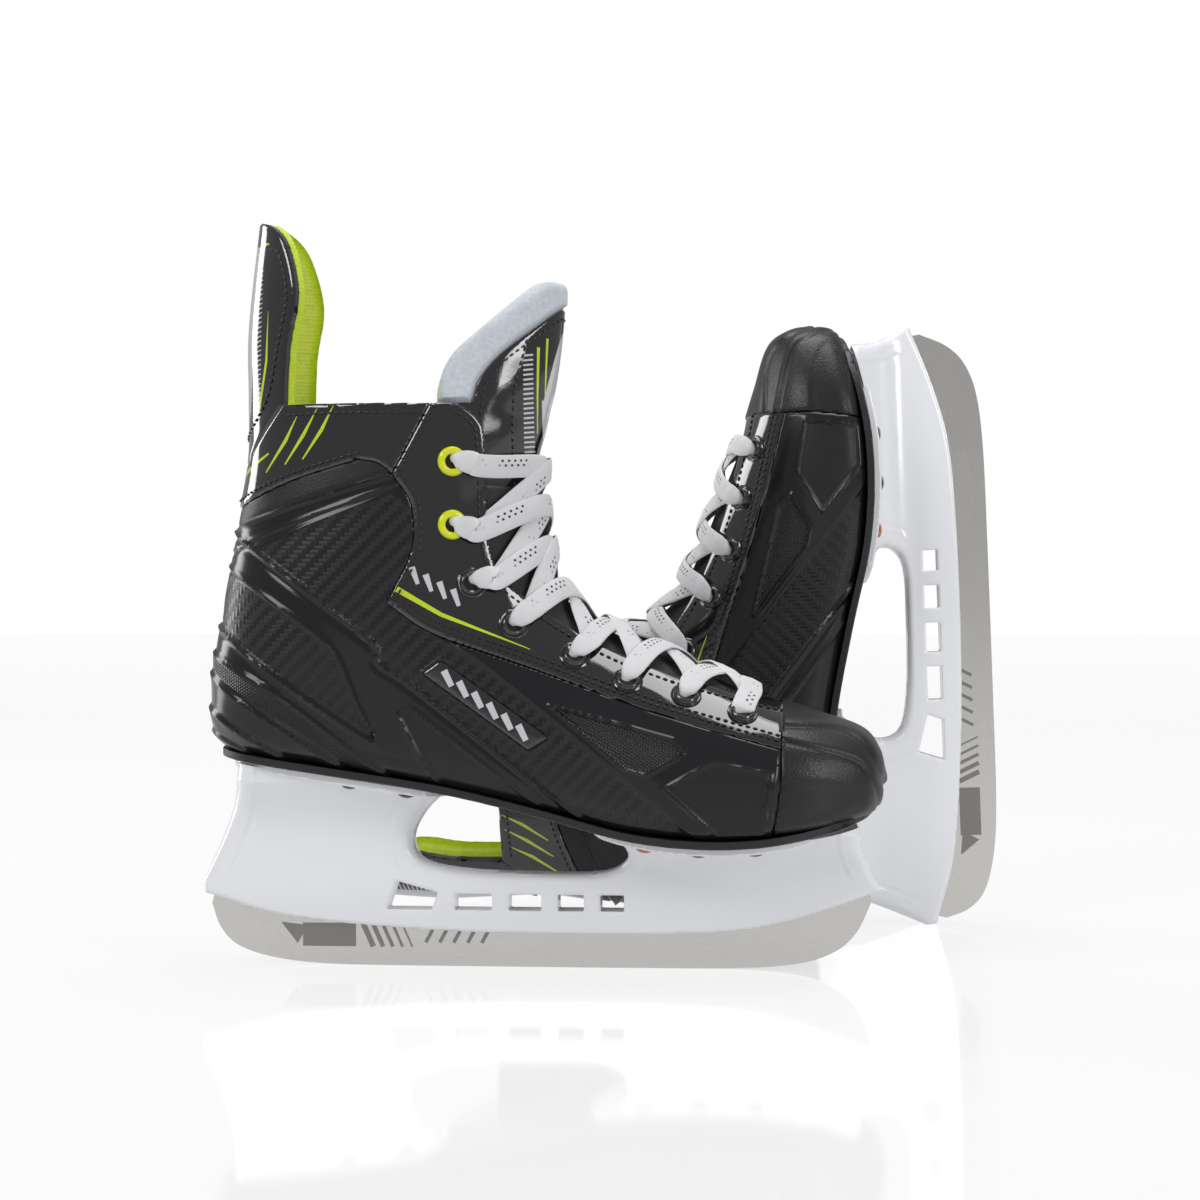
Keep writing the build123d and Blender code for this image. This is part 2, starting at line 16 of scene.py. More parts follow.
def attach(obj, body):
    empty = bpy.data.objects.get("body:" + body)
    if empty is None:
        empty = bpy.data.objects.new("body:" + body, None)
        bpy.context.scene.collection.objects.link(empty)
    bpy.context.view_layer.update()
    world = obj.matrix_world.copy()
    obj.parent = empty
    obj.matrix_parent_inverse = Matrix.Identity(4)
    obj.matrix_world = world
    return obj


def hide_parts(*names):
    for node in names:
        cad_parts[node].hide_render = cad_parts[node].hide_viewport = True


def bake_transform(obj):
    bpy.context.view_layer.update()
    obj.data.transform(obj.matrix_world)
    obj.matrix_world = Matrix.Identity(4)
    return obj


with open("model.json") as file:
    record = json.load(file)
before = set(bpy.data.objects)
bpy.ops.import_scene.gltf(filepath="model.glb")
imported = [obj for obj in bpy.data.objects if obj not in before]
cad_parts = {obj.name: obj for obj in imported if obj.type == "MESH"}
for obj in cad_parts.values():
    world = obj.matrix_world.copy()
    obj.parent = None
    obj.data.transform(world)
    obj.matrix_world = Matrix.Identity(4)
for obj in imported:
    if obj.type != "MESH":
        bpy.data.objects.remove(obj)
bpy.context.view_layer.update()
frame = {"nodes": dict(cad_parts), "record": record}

FEET = ("right", "left")
SIDES = (1, -1)  # medial and lateral
GRID = 1.05  # spacing of the boot's mesh, mm

# ---------------------------------------------------------------- the boot's form, as in the CAD model
# (sole side x, z), (throat side x, z), half width, share of the length where it is widest,
# squareness of the sole side and of the throat side
FORM = [
    (145.2, 80, 145.3, 82, 0.3, 0.50, 2.0, 2.0),
    (143.6, 76, 144.4, 86, 7, 0.50, 2.0, 2.0),
    (141.5, 69, 142.4, 94, 20, 0.46, 2.6, 2.2),
    (134, 65, 135.5, 102.5, 33, 0.42, 3.2, 2.3),
    (115, 61, 116, 109.5, 45, 0.36, 4.0, 2.3),
    (95, 58, 95, 117, 50, 0.33, 4.5, 2.1),
    (68, 56, 67, 129, 51, 0.32, 4.5, 1.9),
    (38, 58, 36, 142.5, 48, 0.32, 4.5, 1.8),
    (4, 67, 16, 154.5, 43, 0.33, 4.5, 1.8),
    (-35, 76, 6, 170, 41, 0.36, 4.5, 1.8),
    (-78, 83, 3, 184, 42, 0.40, 4.0, 1.8),
    (-118, 88, 1.5, 195, 44, 0.42, 3.2, 1.8),
    (-139, 98, 1, 203, 45, 0.43, 2.6, 1.8),
    (-141.5, 122, 1, 210, 45, 0.44, 2.4, 1.8),
    (-137.5, 152, 1.5, 217, 44, 0.45, 2.3, 1.8),
    (-131, 187, 4, 226, 42, 0.46, 2.3, 1.8),
    (-126, 216, 6, 235, 40, 0.47, 2.3, 1.8),
    (-126, 242, 9, 248, 38.5, 0.48, 2.2, 1.8),
    (-126, 272, 12, 272, 36, 0.48, 2.2, 1.8),
    (-121, 320, 15, 320, 31, 0.48, 2.2, 1.8),
]
GUARD_PIVOT, TONGUE_PIVOT = (-127.5, 238.5), (8, 238)
RIM_Z = 237.0

# ---------------------------------------------------------------- side outlines, (x, z) in mm
SOLE = [(-140, 90.5), (-84, 82.5), (-39, 75.5), (0, 67), (40, 57.5), (77, 55), (110, 58.5), (146, 68)]
OUTSOLE_THICK, FLANGE_THICK = 3.5, 3.5
SHELL_WALL, GUARD_WALL, COVER_WALL, FELT_WALL, LINING_WALL = 2.4, 2.6, 1.8, 6.4, 3.8
INNER_DEPTH = 3.0  # from the boot's outside to the tongue cover and the linings
FELT_DEPTH = 5.0
QUARTER_DEPTH = 0.9  # room for the relief that stands out from the quarters
LINING_FLOOR = 6  # the linings end this far above the outsole's underside
WALL_FLOOR = 1.8  # the boot's wall ends this far above the outsole's underside, inside its edge
QUARTER_BACK = [(-150, 188), (-129, 195), (-100, 206), (-72, 214)]
QUARTER_TOP = [(-72, 214), (-64, 212.5), (-58, 208)]
QUARTER_STEP = [(-58, 208), (-50, 195), (-50, 176), (-60, 155)]
EYESTAY_LOW = [(-60, 155), (-40, 142), (0, 128), (48, 111), (101, 96)]
EYESTAY_FRONT = [(102, 114), (92, 116), (56, 126), (30, 136), (12, 146), (-4, 157), (-15, 167), (-20, 182)]
EYESTAY_TOP = [(-20, 182), (-21, 221), (-24, 231), (-32, RIM_Z)]
TOE_LINE = [(101, 96), (100.5, 80), (96, 50)]
COLLAR_SEAM = [(-43, RIM_Z), (-58, 208)]
GUARD_WEDGE = [(-145, 207), (-127, 212), (-119, 221), (-106, RIM_Z)]
GUARD_EDGE = [(-106, RIM_Z), (-104.5, 262), (-101, 284), (-106, 304), (-113, 313), (-124, 318)]
TONGUE_EDGE = [(-40, RIM_Z), (-38, 190), (-28, 162), (-8, 144), (25, 127), (60, 114), (93, 104)]
TONGUE_COVER_EDGE = [(-25, 234), (-24, 242), (-22, 248), (-14, 258), (-2, 268), (12, 279)]
BADGE = [(-45, 126), (-38, 131), (6, 100), (-2, 95)]
TONGUE_FELT_EDGE = [(-39, 234), (-39, 244), (-36, 254), (-30, 262), (-11, 278), (4, 289), (12, 290)]

LIME_EYELETS = [(-34, 213), (-34, 187)]
BLACK_EYELETS = [(-26, 163), (-9, 146), (16, 133), (38, 123), (62, 117), (85, 110)]
LACE_WIDTH, GATHERED_WIDTH = 9.6, 5.0  # of the lace lying flat and in the eyelet
LACE_EDGES = [(-21, 213), (-20.5, 187), (-14, 167), (-1, 155), (22, 140), (42, 131), (65, 123.5), (88, 117)]


# ---------------------------------------------------------------- small geometry
def smooth_path(points, per=10):
    """A Catmull-Rom curve through the points; two points stay a straight line."""
    pts = np.asarray(points, float)
    if len(pts) < 3:
        return pts
    ends = np.vstack([2 * pts[0] - pts[1], pts, 2 * pts[-1] - pts[-2]])
    out = []
    for a, b, c, d in zip(ends, ends[1:], ends[2:], ends[3:]):
        for u in np.arange(per) / per:
            out.append(0.5 * (2 * b + (c - a) * u + (2 * a - 5 * b + 4 * c - d) * u**2
                              + (3 * b - a - 3 * c + d) * u**3))
    out.append(pts[-1])
    return np.array(out)


def outline(*runs):
    """One closed outline from runs of side points; a run of more than two is a curve."""
    parts = [smooth_path(run) for run in runs]
    loop = np.vstack(parts)
    keep = np.linalg.norm(loop - np.roll(loop, 1, axis=0), axis=1) > 1e-6
    return loop[keep]


def to_segments(x, z, pts, closed):
    """Distance to a polyline, and on which side of it (positive to its left)."""
    pts = np.asarray(pts, float)
    a = pts if closed else pts[:-1]
    b = np.roll(pts, -1, axis=0) if closed else pts[1:]
    best, side = np.full(x.shape, 1e9), np.ones(x.shape)
    for (ax, az), (bx, bz) in zip(a, b):
        dx, dz = bx - ax, bz - az
        t = np.clip(((x - ax) * dx + (z - az) * dz) / (dx * dx + dz * dz), 0, 1)
        d = np.hypot(x - ax - t * dx, z - az - t * dz)
        nearer = d < best
        best = np.where(nearer, d, best)
        side = np.where(nearer, np.sign(dx * (z - az) - dz * (x - ax)), side)
    return best, side


def inside(x, z, loop):
    """Distance into a closed outline, negative outside."""
    d, _ = to_segments(x, z, loop, True)
    hit = np.zeros(x.shape, bool)
    for (ax, az), (bx, bz) in zip(loop, np.roll(loop, -1, axis=0)):
        if az != bz:
            crosses = ((az > z) != (bz > z)) & (x < (bx - ax) * (z - az) / (bz - az) + ax)
            hit ^= crosses
    return np.where(hit, d, -d)


def step(value, low, high):
    """A smooth rise from 0 to 1 between two values."""
    t = np.clip((value - low) / (high - low), 0, 1)
    return t * t * (3 - 2 * t)


def sole_z(x):
    """Height of the outsole's underside."""
    line = smooth_path(SOLE, 6)
    return np.interp(x, line[:, 0], line[:, 1])


# ---------------------------------------------------------------- the boot's surface as a grid
def stations(s):
    """Rows of FORM at fractional section numbers."""
    table = np.array(FORM)
    table = np.vstack([2 * table[0] - table[1], table, 2 * table[-1] - table[-2]])
    k = np.clip(s.astype(int), 0, len(FORM) - 2)
    u = (s - k)[:, None]
    a, b, c, d = table[k], table[k + 1], table[k + 2], table[k + 3]
    return 0.5 * (2 * b + (c - a) * u + (2 * a - 5 * b + 4 * c - d) * u**2 + (3 * b - a - 3 * c + d) * u**3)


def half_surface(s, turn):
    """Points of the +Y half for section numbers s and turns from -90 (sole) to 90 degrees (throat)."""
    lx, lz, tx, tz, half, widest, low_n, top_n = (c[:, None] for c in stations(s).T)
    length = np.hypot(tx - lx, tz - lz)
    up, out = np.sin(turn)[None, :], np.clip(np.cos(turn), 0, 1)[None, :]
    power = np.where(up < 0, low_n, top_n)
    radius = (np.abs(up) ** power + out**power) ** (-1 / power)
    reach = np.where(up < 0, widest, 1 - widest) * length
    along = (widest * length + reach * up * radius) / length
    return np.stack([lx + (tx - lx) * along, np.maximum(half, 0.05) * out * radius,
                     lz + (tz - lz) * along], -1)


def spaced_stations():
    """Section numbers spread so that no two neighbours are further apart than the grid."""
    s = np.linspace(0, len(FORM) - 1, 4000)
    row = stations(s)
    gap = np.maximum(np.hypot(np.diff(row[:, 0]), np.diff(row[:, 1])),
                     np.hypot(np.diff(row[:, 2]), np.diff(row[:, 3])))
    run = np.concatenate([[0], np.cumsum(gap)])
    return np.interp(np.linspace(0, run[-1], int(run[-1] / GRID)), run, s)


def spaced_turns():
    """Turns spread so that their points on one section are a grid step apart."""
    turn = np.linspace(-math.pi / 2, math.pi / 2, 2000)
    across = half_surface(np.array([11.0]), turn)[0]
    run = np.concatenate([[0], np.cumsum(np.linalg.norm(np.diff(across, axis=0), axis=1))])
    return np.interp(np.linspace(0, run[-1], int(run[-1] / GRID)), run, turn)


def grid_normals(p):
    """Unit normals of a grid of points."""
    along, across = np.gradient(p, axis=0), np.gradient(p, axis=1)
    n = np.cross(along, across)
    return n / np.maximum(np.linalg.norm(n, axis=-1, keepdims=True), 1e-9)


ROWS, COLUMNS = spaced_stations(), spaced_turns()
HALF = half_surface(ROWS, COLUMNS)
HALF_N = grid_normals(HALF)
if (HALF_N[..., 1] > 0).mean() < 0.5:
    HALF_N = -HALF_N
HALF_N[:, [0, -1], 1] = 0
HALF_N /= np.linalg.norm(HALF_N, axis=-1, keepdims=True)
FLIP = np.array([1, -1, 1])


def wall_grid(sides):
    """Points and outward normals: 'medial' and 'lateral' halves, or 'both' joined over the throat."""
    if sides == "medial":
        return HALF, HALF_N
    lateral, lateral_n = HALF[:, ::-1] * FLIP, HALF_N[:, ::-1] * FLIP
    if sides == "lateral":
        return lateral, lateral_n
    return np.concatenate([HALF, lateral[:, 1:]], 1), np.concatenate([HALF_N, lateral_n[:, 1:]], 1)


def cut_grid(points, normals, field, zones):
    """The part of a grid where field is positive, trimmed along its zero line."""
    rows, cols = field.shape
    data = np.concatenate([points, normals, zones], -1)
    keep = field >= 0
    number = np.full((rows, cols), -1)
    number[keep] = np.arange(keep.sum())
    out = list(data[keep])
    corner = [keep[:-1, :-1], keep[:-1, 1:], keep[1:, 1:], keep[1:, :-1]]
    full = corner[0] & corner[1] & corner[2] & corner[3]
    some = (corner[0] | corner[1] | corner[2] | corner[3]) & ~full
    i, j = np.nonzero(full)
    faces = [tuple(f) for f in np.stack([number[i, j], number[i, j + 1], number[i + 1, j + 1],
                                         number[i + 1, j]], -1).tolist()]
    crossing = {}
    for i, j in zip(*np.nonzero(some)):
        ring = [(i, j), (i, j + 1), (i + 1, j + 1), (i + 1, j)]
        face = []
        for a, b in zip(ring, ring[1:] + ring[:1]):
            if keep[a]:
                face.append(int(number[a]))
            if keep[a] != keep[b]:
                key = (a, b) if a < b else (b, a)
                if key not in crossing:
                    t = field[a] / (field[a] - field[b])
                    crossing[key] = len(out)
                    out.append(data[a] * (1 - t) + data[b] * t)
                face.append(crossing[key])
        if len(face) > 2:
            faces.append(tuple(face))
    out = np.array(out)
    return out[:, :3], out[:, 3:6], out[:, 6:], faces


def thicken(points, normals, zones, faces, thick):
    """A closed wall: the sheet, its copy thick mm further in, and a rim between them."""
    n = len(points)
    directed = {}
    for f in faces:
        for a, b in zip(f, f[1:] + f[:1]):
            directed[(a, b)] = True
    rim = [(b, a, a + n, b + n) for a, b in directed if (b, a) not in directed]
    back = [tuple(v + n for v in reversed(f)) for f in faces]
    return np.vstack([points, points - normals * thick]), np.vstack([zones, zones]), faces + back + rim


def weld(mesh, gap):
    """Joins points closer than the gap and turns every face outwards."""
    tidy = bmesh.new()
    tidy.from_mesh(mesh)
    bmesh.ops.remove_doubles(tidy, verts=tidy.verts, dist=gap)
    bmesh.ops.recalc_face_normals(tidy, faces=tidy.faces)
    tidy.to_mesh(mesh)
    tidy.free()


def make_mesh(name, points, faces, zones=None, uv=None, sharp=38):
    """Mesh in local mm, with its own place and zone masks stored for the materials."""
    mesh = bpy.data.meshes.new(name)
    mesh.from_pydata([tuple(p) for p in points], [], [tuple(f) for f in faces])
    place = mesh.attributes.new("skate", "FLOAT_VECTOR", "POINT")
    place.data.foreach_set("vector", (np.asarray(points) / 1000).astype(np.float32).ravel())
    if zones is not None:
        masks = mesh.attributes.new("zone", "FLOAT_VECTOR", "POINT")
        masks.data.foreach_set("vector", np.asarray(zones)[:, :3].astype(np.float32).ravel())
    if uv is not None:
        layer = mesh.uv_layers.new(name="along")
        loops = np.zeros(len(mesh.loops), int)
        mesh.loops.foreach_get("vertex_index", loops)
        layer.data.foreach_set("uv", np.asarray(uv)[loops].astype(np.float32).ravel())
    weld(mesh, 0.004)
    mesh.shade_smooth()
    mesh.set_sharp_from_angle(angle=math.radians(sharp))
    return mesh


def rolled(edge, radius):
    """How far a rounded edge falls away, from the distance to the edge."""
    d = np.clip(radius - edge, 0, radius)
    return radius - np.sqrt(np.maximum(radius**2 - d**2, 0))


def wall(name, sides, loop, thick, depth=0.0, roll=0.9, relief=None, zones=None, floor=None, wrinkle=0):
    """A piece of the boot's wall inside a side outline, at a depth below the boot's outside."""
    points, normals = wall_grid(sides)
    x, z = points[..., 0], points[..., 2]
    near = (x > loop[:, 0].min() - 4) & (x < loop[:, 0].max() + 4)
    near &= (z > loop[:, 1].min() - 4) & (z < loop[:, 1].max() + 4)
    rows = np.nonzero(near.any(1))[0]
    rows = slice(rows[0], rows[-1] + 1)
    points, normals, x, z = points[rows], normals[rows], x[rows], z[rows]
    field = inside(x, z, loop)
    if floor is not None:
        field = np.minimum(field, z - sole_z(x) - floor)
    deep = depth + rolled(np.maximum(field, 0), roll)
    if relief is not None:
        deep = deep - relief(x, z, np.sign(points[..., 1] + 1e-6))
    if wrinkle:
        deep = deep + wrinkle * (np.sin(x * 0.31 + z * 0.17) * np.sin(z * 0.23 - x * 0.11))
    moved = points - normals * deep[..., None]
    masks = np.zeros(x.shape + (3,)) if zones is None else zones(x, z)
    p, n, m, faces = cut_grid(moved, normals, field, masks)
    p, m, faces = thicken(p, n, m, faces, thick)
    return make_mesh(name, p, faces, m)


# ---------------------------------------------------------------- placing pieces on both skates
def skate_matrix(foot):
    """From one skate's millimetres to the frame, by its guard and tongue joints."""
    joints = {j["name"]: j for j in frame["record"]["behaviour"]["joints"]}
    guard = Vector(joints[f"{foot}_guard_flex"]["pos_m"])
    tongue = Vector(joints[f"{foot}_tongue_flop"]["pos_m"])
    local = math.atan2(TONGUE_PIVOT[1] - GUARD_PIVOT[1], TONGUE_PIVOT[0] - GUARD_PIVOT[0])
    turn = local - math.atan2(tongue.z - guard.z, tongue.x - guard.x)
    mirror = Matrix.Diagonal((1, -1 if foot == "left" else 1, 1, 1))
    return (Matrix.Translation(guard) @ Matrix.Rotation(turn, 4, "Y") @ Matrix.Scale(0.001, 4) @ mirror
            @ Matrix.Translation((-GUARD_PIVOT[0], 0, -GUARD_PIVOT[1])))


PLACE = {foot: skate_matrix(foot) for foot in FEET}


def both(name, mesh, material, nodes=(), body="boot", bend=None):
    """Puts a local mesh on both skates. bend is (moving body, start, end) in local side points, but only
    its presence is read: the piece is then left unattached with its placing baked in, and nothing bends it.
    """
    for foot in FEET:
        data = mesh.copy()
        data.transform(PLACE[foot])
        if foot == "left":
            data.flip_normals()
        data.materials.clear()
        data.materials.append(material)
        piece = bpy.data.objects.new(f"{foot}_{name}_visual", data)
        bpy.context.scene.collection.objects.link(piece)
        if nodes:
            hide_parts(*[f"{foot}_{node}" for node in nodes])
        if bend:
            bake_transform(piece)
        else:
            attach(piece, f"{foot}_{body}")


# ---------------------------------------------------------------- node groups and materials
def new_group(name, inputs, outputs):
    tree = bpy.data.node_groups.new(name, "ShaderNodeTree")
    for label, kind, value in inputs:
        socket = tree.interface.new_socket(name=label, in_out="INPUT", socket_type=kind)
        if value is not None:
            socket.default_value = value
    for label, kind in outputs:
        tree.interface.new_socket(name=label, in_out="OUTPUT", socket_type=kind)
    return tree, tree.nodes.new("NodeGroupInput"), tree.nodes.new("NodeGroupOutput")


class Wiring:
    """Short ways to add and join nodes in one tree."""

    def __init__(self, tree):
        self.tree = tree

    def put(self, socket, value):
        if isinstance(value, bpy.types.NodeSocket):
            self.tree.links.new(value, socket)
        else:
            socket.default_value = value

    def node(self, kind, settings=None, **sockets):
        made = self.tree.nodes.new(kind)
        for key, value in (settings or {}).items():
            setattr(made, key, value)
        for key, value in sockets.items():
            socket = made.inputs[int(key[1:])] if key[0] == "i" and key[1:].isdigit() else made.inputs[key]
            self.put(socket, value)
        return made

    def math(self, operation, a, b=0.0, c=0.0, clamp=False):
        return self.node("ShaderNodeMath", {"operation": operation, "use_clamp": clamp}, i0=a, i1=b,
                         i2=c).outputs[0]

    def add(self, a, b, **flags):
        return self.math("ADD", a, b, **flags)

    def sub(self, a, b):
        return self.math("SUBTRACT", a, b)

    def mul(self, a, b):
        return self.math("MULTIPLY", a, b)

    def div(self, a, b, **flags):
        return self.math("DIVIDE", a, b, **flags)

    def split(self, vector):
        return self.node("ShaderNodeSeparateXYZ", i0=vector).outputs

    def attribute(self, name):
        return self.node("ShaderNodeAttribute", {"attribute_name": name}).outputs["Vector"]

    def scale(self, a, factor):
        made = self.node("ShaderNodeVectorMath", {"operation": "SCALE"}, i0=a)
        self.put(made.inputs["Scale"], factor)
        return made.outputs[0]

    def ramp(self, value, low, high, to_low=0.0, to_high=1.0):
        return self.node("ShaderNodeMapRange", {"interpolation_type": "SMOOTHSTEP"}, i0=value, i1=low,
                         i2=high,
                         i3=to_low, i4=to_high).outputs[0]

    def mix(self, factor, a, b):
        made = self.node("ShaderNodeMix", {"data_type": "RGBA"})
        self.put(made.inputs[0], factor)
        self.put(made.inputs[6], a)
        self.put(made.inputs[7], b)
        return made.outputs[2]

    def noise(self, vector, scale, detail=3.0, rough=0.55):
        made = self.node("ShaderNodeTexNoise", Vector=vector, Scale=scale, Detail=detail, Roughness=rough)
        return made.outputs["Fac"]


def group_grain():
    """Fine leather or moulded grain: a height and slow patches for the roughness."""
    tree, start, end = new_group("fine_grain", [("Vector", "NodeSocketVector", None),
                                                ("Scale", "NodeSocketFloat", 1500.0)],
                                 [("Height", "NodeSocketFloat"), ("Patches", "NodeSocketFloat")])
    w = Wiring(tree)
    cells = w.node("ShaderNodeTexVoronoi", {"feature": "SMOOTH_F1"}, Vector=start.outputs[0],
                   Scale=start.outputs[1])
    soft = w.noise(start.outputs[0], 900.0, 4.0)
    w.put(end.inputs[0], w.add(w.mul(cells.outputs["Distance"], 0.7), w.mul(soft, 0.5)))
    w.put(end.inputs[1], w.noise(start.outputs[0], 38.0, 5.0))
    return tree


def group_carbon():
    """Twill of flat tows, two over and two under, as moulded into the shell."""
    tree, start, end = new_group("carbon_weave", [("Vector", "NodeSocketVector", None),
                                                  ("Tow", "NodeSocketFloat", 0.0018)],
                                 [("Height", "NodeSocketFloat"), ("Shade", "NodeSocketFloat")])
    w = Wiring(tree)
    split = w.split(start.outputs[0])
    u, v = w.div(split[0], start.outputs[1]), w.div(split[2], start.outputs[1])
    step_over = w.sub(w.math("FLOOR", u), w.math("FLOOR", v))
    over = w.math("LESS_THAN", w.math("FLOORED_MODULO", step_over, 4.0), 2.0)
    arch_u = w.math("SINE", w.mul(w.math("FRACT", u), math.pi))
    arch_v = w.math("SINE", w.mul(w.math("FRACT", v), math.pi))
    height = w.add(w.mul(over, arch_v), w.mul(w.sub(1.0, over), arch_u))
    w.put(end.inputs[0], w.add(height, w.mul(over, 0.5)))
    w.put(end.inputs[1], over)
    return tree


def group_mesh():
    """Fine hexagonal mesh of raised strands."""
    tree, start, end = new_group("fine_mesh", [("Vector", "NodeSocketVector", None),
                                               ("Pitch", "NodeSocketFloat", 0.0011)],
                                 [("Height", "NodeSocketFloat")])
    w = Wiring(tree)
    split = w.split(start.outputs[0])
    waves = []
    for c, s in ((1.0, 0.0), (0.5, 0.866), (-0.5, 0.866)):
        along = w.add(w.mul(split[0], c), w.mul(split[2], s))
        waves.append(w.math("COSINE", w.mul(w.div(along, start.outputs[1]), 2 * math.pi)))
    w.put(end.inputs[0], w.add(w.add(waves[0], waves[1]), waves[2]))
    return tree


STROKE_VALUES = ("X0", "Z0", "X1", "Z1", "W0", "W1")  # both ends, then the width at each


def group_slash():
    """Mask of one tapering printed stroke between two side points."""
    tree, start, end = new_group("printed_stroke", [("Vector", "NodeSocketVector", None)]
                                 + [(n, "NodeSocketFloat", 0.0) for n in STROKE_VALUES],
                                 [("Mask", "NodeSocketFloat")])
    w = Wiring(tree)
    split = w.split(start.outputs[0])
    x0, z0, x1, z1, w0, w1 = start.outputs[1:7]
    dx, dz = w.sub(x1, x0), w.sub(z1, z0)
    px, pz = w.sub(split[0], x0), w.sub(split[2], z0)
    dot = w.add(w.mul(px, dx), w.mul(pz, dz))
    length = w.add(w.mul(dx, dx), w.mul(dz, dz))
    t = w.div(dot, length, clamp=True)
    raw = w.div(dot, length)
    reach = w.math("SQRT", length)
    cross = w.sub(w.mul(px, dz), w.mul(pz, dx))
    off = w.math("ABSOLUTE", w.div(cross, reach))
    past = w.mul(w.sub(w.math("ABSOLUTE", w.sub(raw, 0.5)), 0.5), reach)
    half = w.mul(w.add(w.mul(w0, w.sub(1.0, t)), w.mul(w1, t)), 0.5)
    within = w.ramp(w.sub(half, off), -0.00006, 0.00010)
    w.put(end.inputs[0], w.mul(within, w.ramp(past, -0.00010, 0.00006, 1.0, 0.0)))
    return tree


def group_fibres():
    """Felt or braid fibres: a height and a light and dark fleck."""
    tree, start, end = new_group("fibres", [("Vector", "NodeSocketVector", None),
                                            ("Scale", "NodeSocketFloat", 1.0)],
                                 [("Height", "NodeSocketFloat"), ("Fleck", "NodeSocketFloat")])
    w = Wiring(tree)
    placed = w.scale(start.outputs[0], start.outputs[1])
    sway = w.node("ShaderNodeTexNoise", Vector=placed, Scale=300.0).outputs["Color"]
    sway = w.scale(sway, 0.004)
    bent = w.node("ShaderNodeVectorMath", {"operation": "ADD"}, i0=placed, i1=sway).outputs[0]
    long = w.node("ShaderNodeMapping", Vector=bent, Scale=(1.0, 1.0, 3.5))
    fine = w.noise(long.outputs[0], 1500.0, 4.0, 0.7)
    clumps = w.noise(placed, 260.0, 4.0, 0.6)
    w.put(end.inputs[0], w.add(w.mul(fine, 0.6), w.mul(clumps, 0.7)))
    w.put(end.inputs[1], w.add(w.mul(fine, 0.5), w.mul(clumps, 0.5)))
    return tree


GROUPS = {"grain": group_grain(), "carbon": group_carbon(), "mesh": group_mesh(), "slash": group_slash(),
          "fibres": group_fibres()}


class Finish(Wiring):
    """One material: a Principled shader and what feeds it."""

    def __init__(self, name, color=(0.8, 0.8, 0.8), rough=0.5, metal=0.0, coat=0.0, coat_rough=0.05,
                 sheen=0.0, specular=0.5):
        self.material = bpy.data.materials.new(name)
        self.material.use_nodes = True
        super().__init__(self.material.node_tree)
        self.shader = self.tree.nodes["Principled BSDF"]
        for label, value in (("Base Color", (*color, 1)), ("Roughness", rough), ("Metallic", metal),
                             ("Coat Weight", coat),
                             ("Coat Roughness", coat_rough), ("Sheen Weight", sheen),
                             ("Specular IOR Level", specular)):
            self.shader.inputs[label].default_value = value
        self.place = self.attribute("skate")

    def group(self, name, **sockets):
        made = self.tree.nodes.new("ShaderNodeGroup")
        made.node_tree = GROUPS[name]
        self.put(made.inputs["Vector"], sockets.pop("Vector", self.place))
        for key, value in sockets.items():
            self.put(made.inputs[key], value)
        return made

    def color(self, value):
        self.put(self.shader.inputs["Base Color"], value)

    def rough(self, value):
        self.put(self.shader.inputs["Roughness"], value)

    def bump(self, height, distance, strength=1.0, under=None):
        made = self.node("ShaderNodeBump", Height=height, Distance=distance, Strength=strength)
        if under is not None:
            self.put(made.inputs["Normal"], under)
        return made.outputs[0]

    def normal(self, value):
        self.put(self.shader.inputs["Normal"], value)

    def strokes(self, rows):
        """The joined mask of printed strokes, each x0, z0, x1, z1, w0, w1 in mm."""
        total = None
        for row in rows:
            ends = {label: value / 1000 for label, value in zip(STROKE_VALUES, row)}
            mask = self.group("slash", **ends).outputs[0]
            total = mask if total is None else self.math("MAXIMUM", total, mask)
        return total


BLACK = (0.009, 0.009, 0.011)
LIME = (0.58, 0.72, 0.012)
BRAID_PITCH = 0.75  # mm between the ribs of the laces
CORD_PITCH = 0.0016  # metres between the ribs of the lime lining's bound edge


def finish_shell():
    """Moulded boot shell: gloss bands, carbon weave, fine mesh and matte grain, each in its own zone."""
    f = Finish("moulded_shell", BLACK, 0.22, specular=0.4)
    weave, matte, mesh = f.split(f.attribute("zone"))
    carbon, fine, grain = f.group("carbon"), f.group("mesh"), f.group("grain")
    dark = f.mix(f.mul(carbon.outputs["Shade"], weave), (0.010, 0.010, 0.012, 1), (0.017, 0.017, 0.019, 1))
    f.color(f.mix(f.mul(matte, 0.6), dark, (0.013, 0.013, 0.014, 1)))
    rough = f.add(0.13, f.mul(grain.outputs["Patches"], 0.10))
    rough = f.add(rough, f.mul(weave, f.add(0.10, f.mul(carbon.outputs["Shade"], 0.14))))
    f.rough(f.add(f.add(rough, f.mul(matte, 0.26)), f.mul(mesh, 0.12)))
    height = f.mul(f.mul(carbon.outputs["Height"], weave), 0.35)
    height = f.add(height, f.mul(f.mul(fine.outputs[0], mesh), 0.35))
    height = f.add(height, f.mul(grain.outputs["Height"], f.add(0.05, f.mul(matte, 0.5))))
    f.normal(f.bump(height, 0.00022))
    return f.material


def finish_toe():
    """Matte leather grain."""
    f = Finish("grained_toe_cap", (0.011, 0.011, 0.012), 0.38, specular=0.45)
    grain = f.group("grain", Scale=1300.0)
    f.rough(f.add(0.30, f.mul(grain.outputs["Patches"], 0.16)))
    f.normal(f.bump(grain.outputs["Height"], 0.00016))
    return f.material


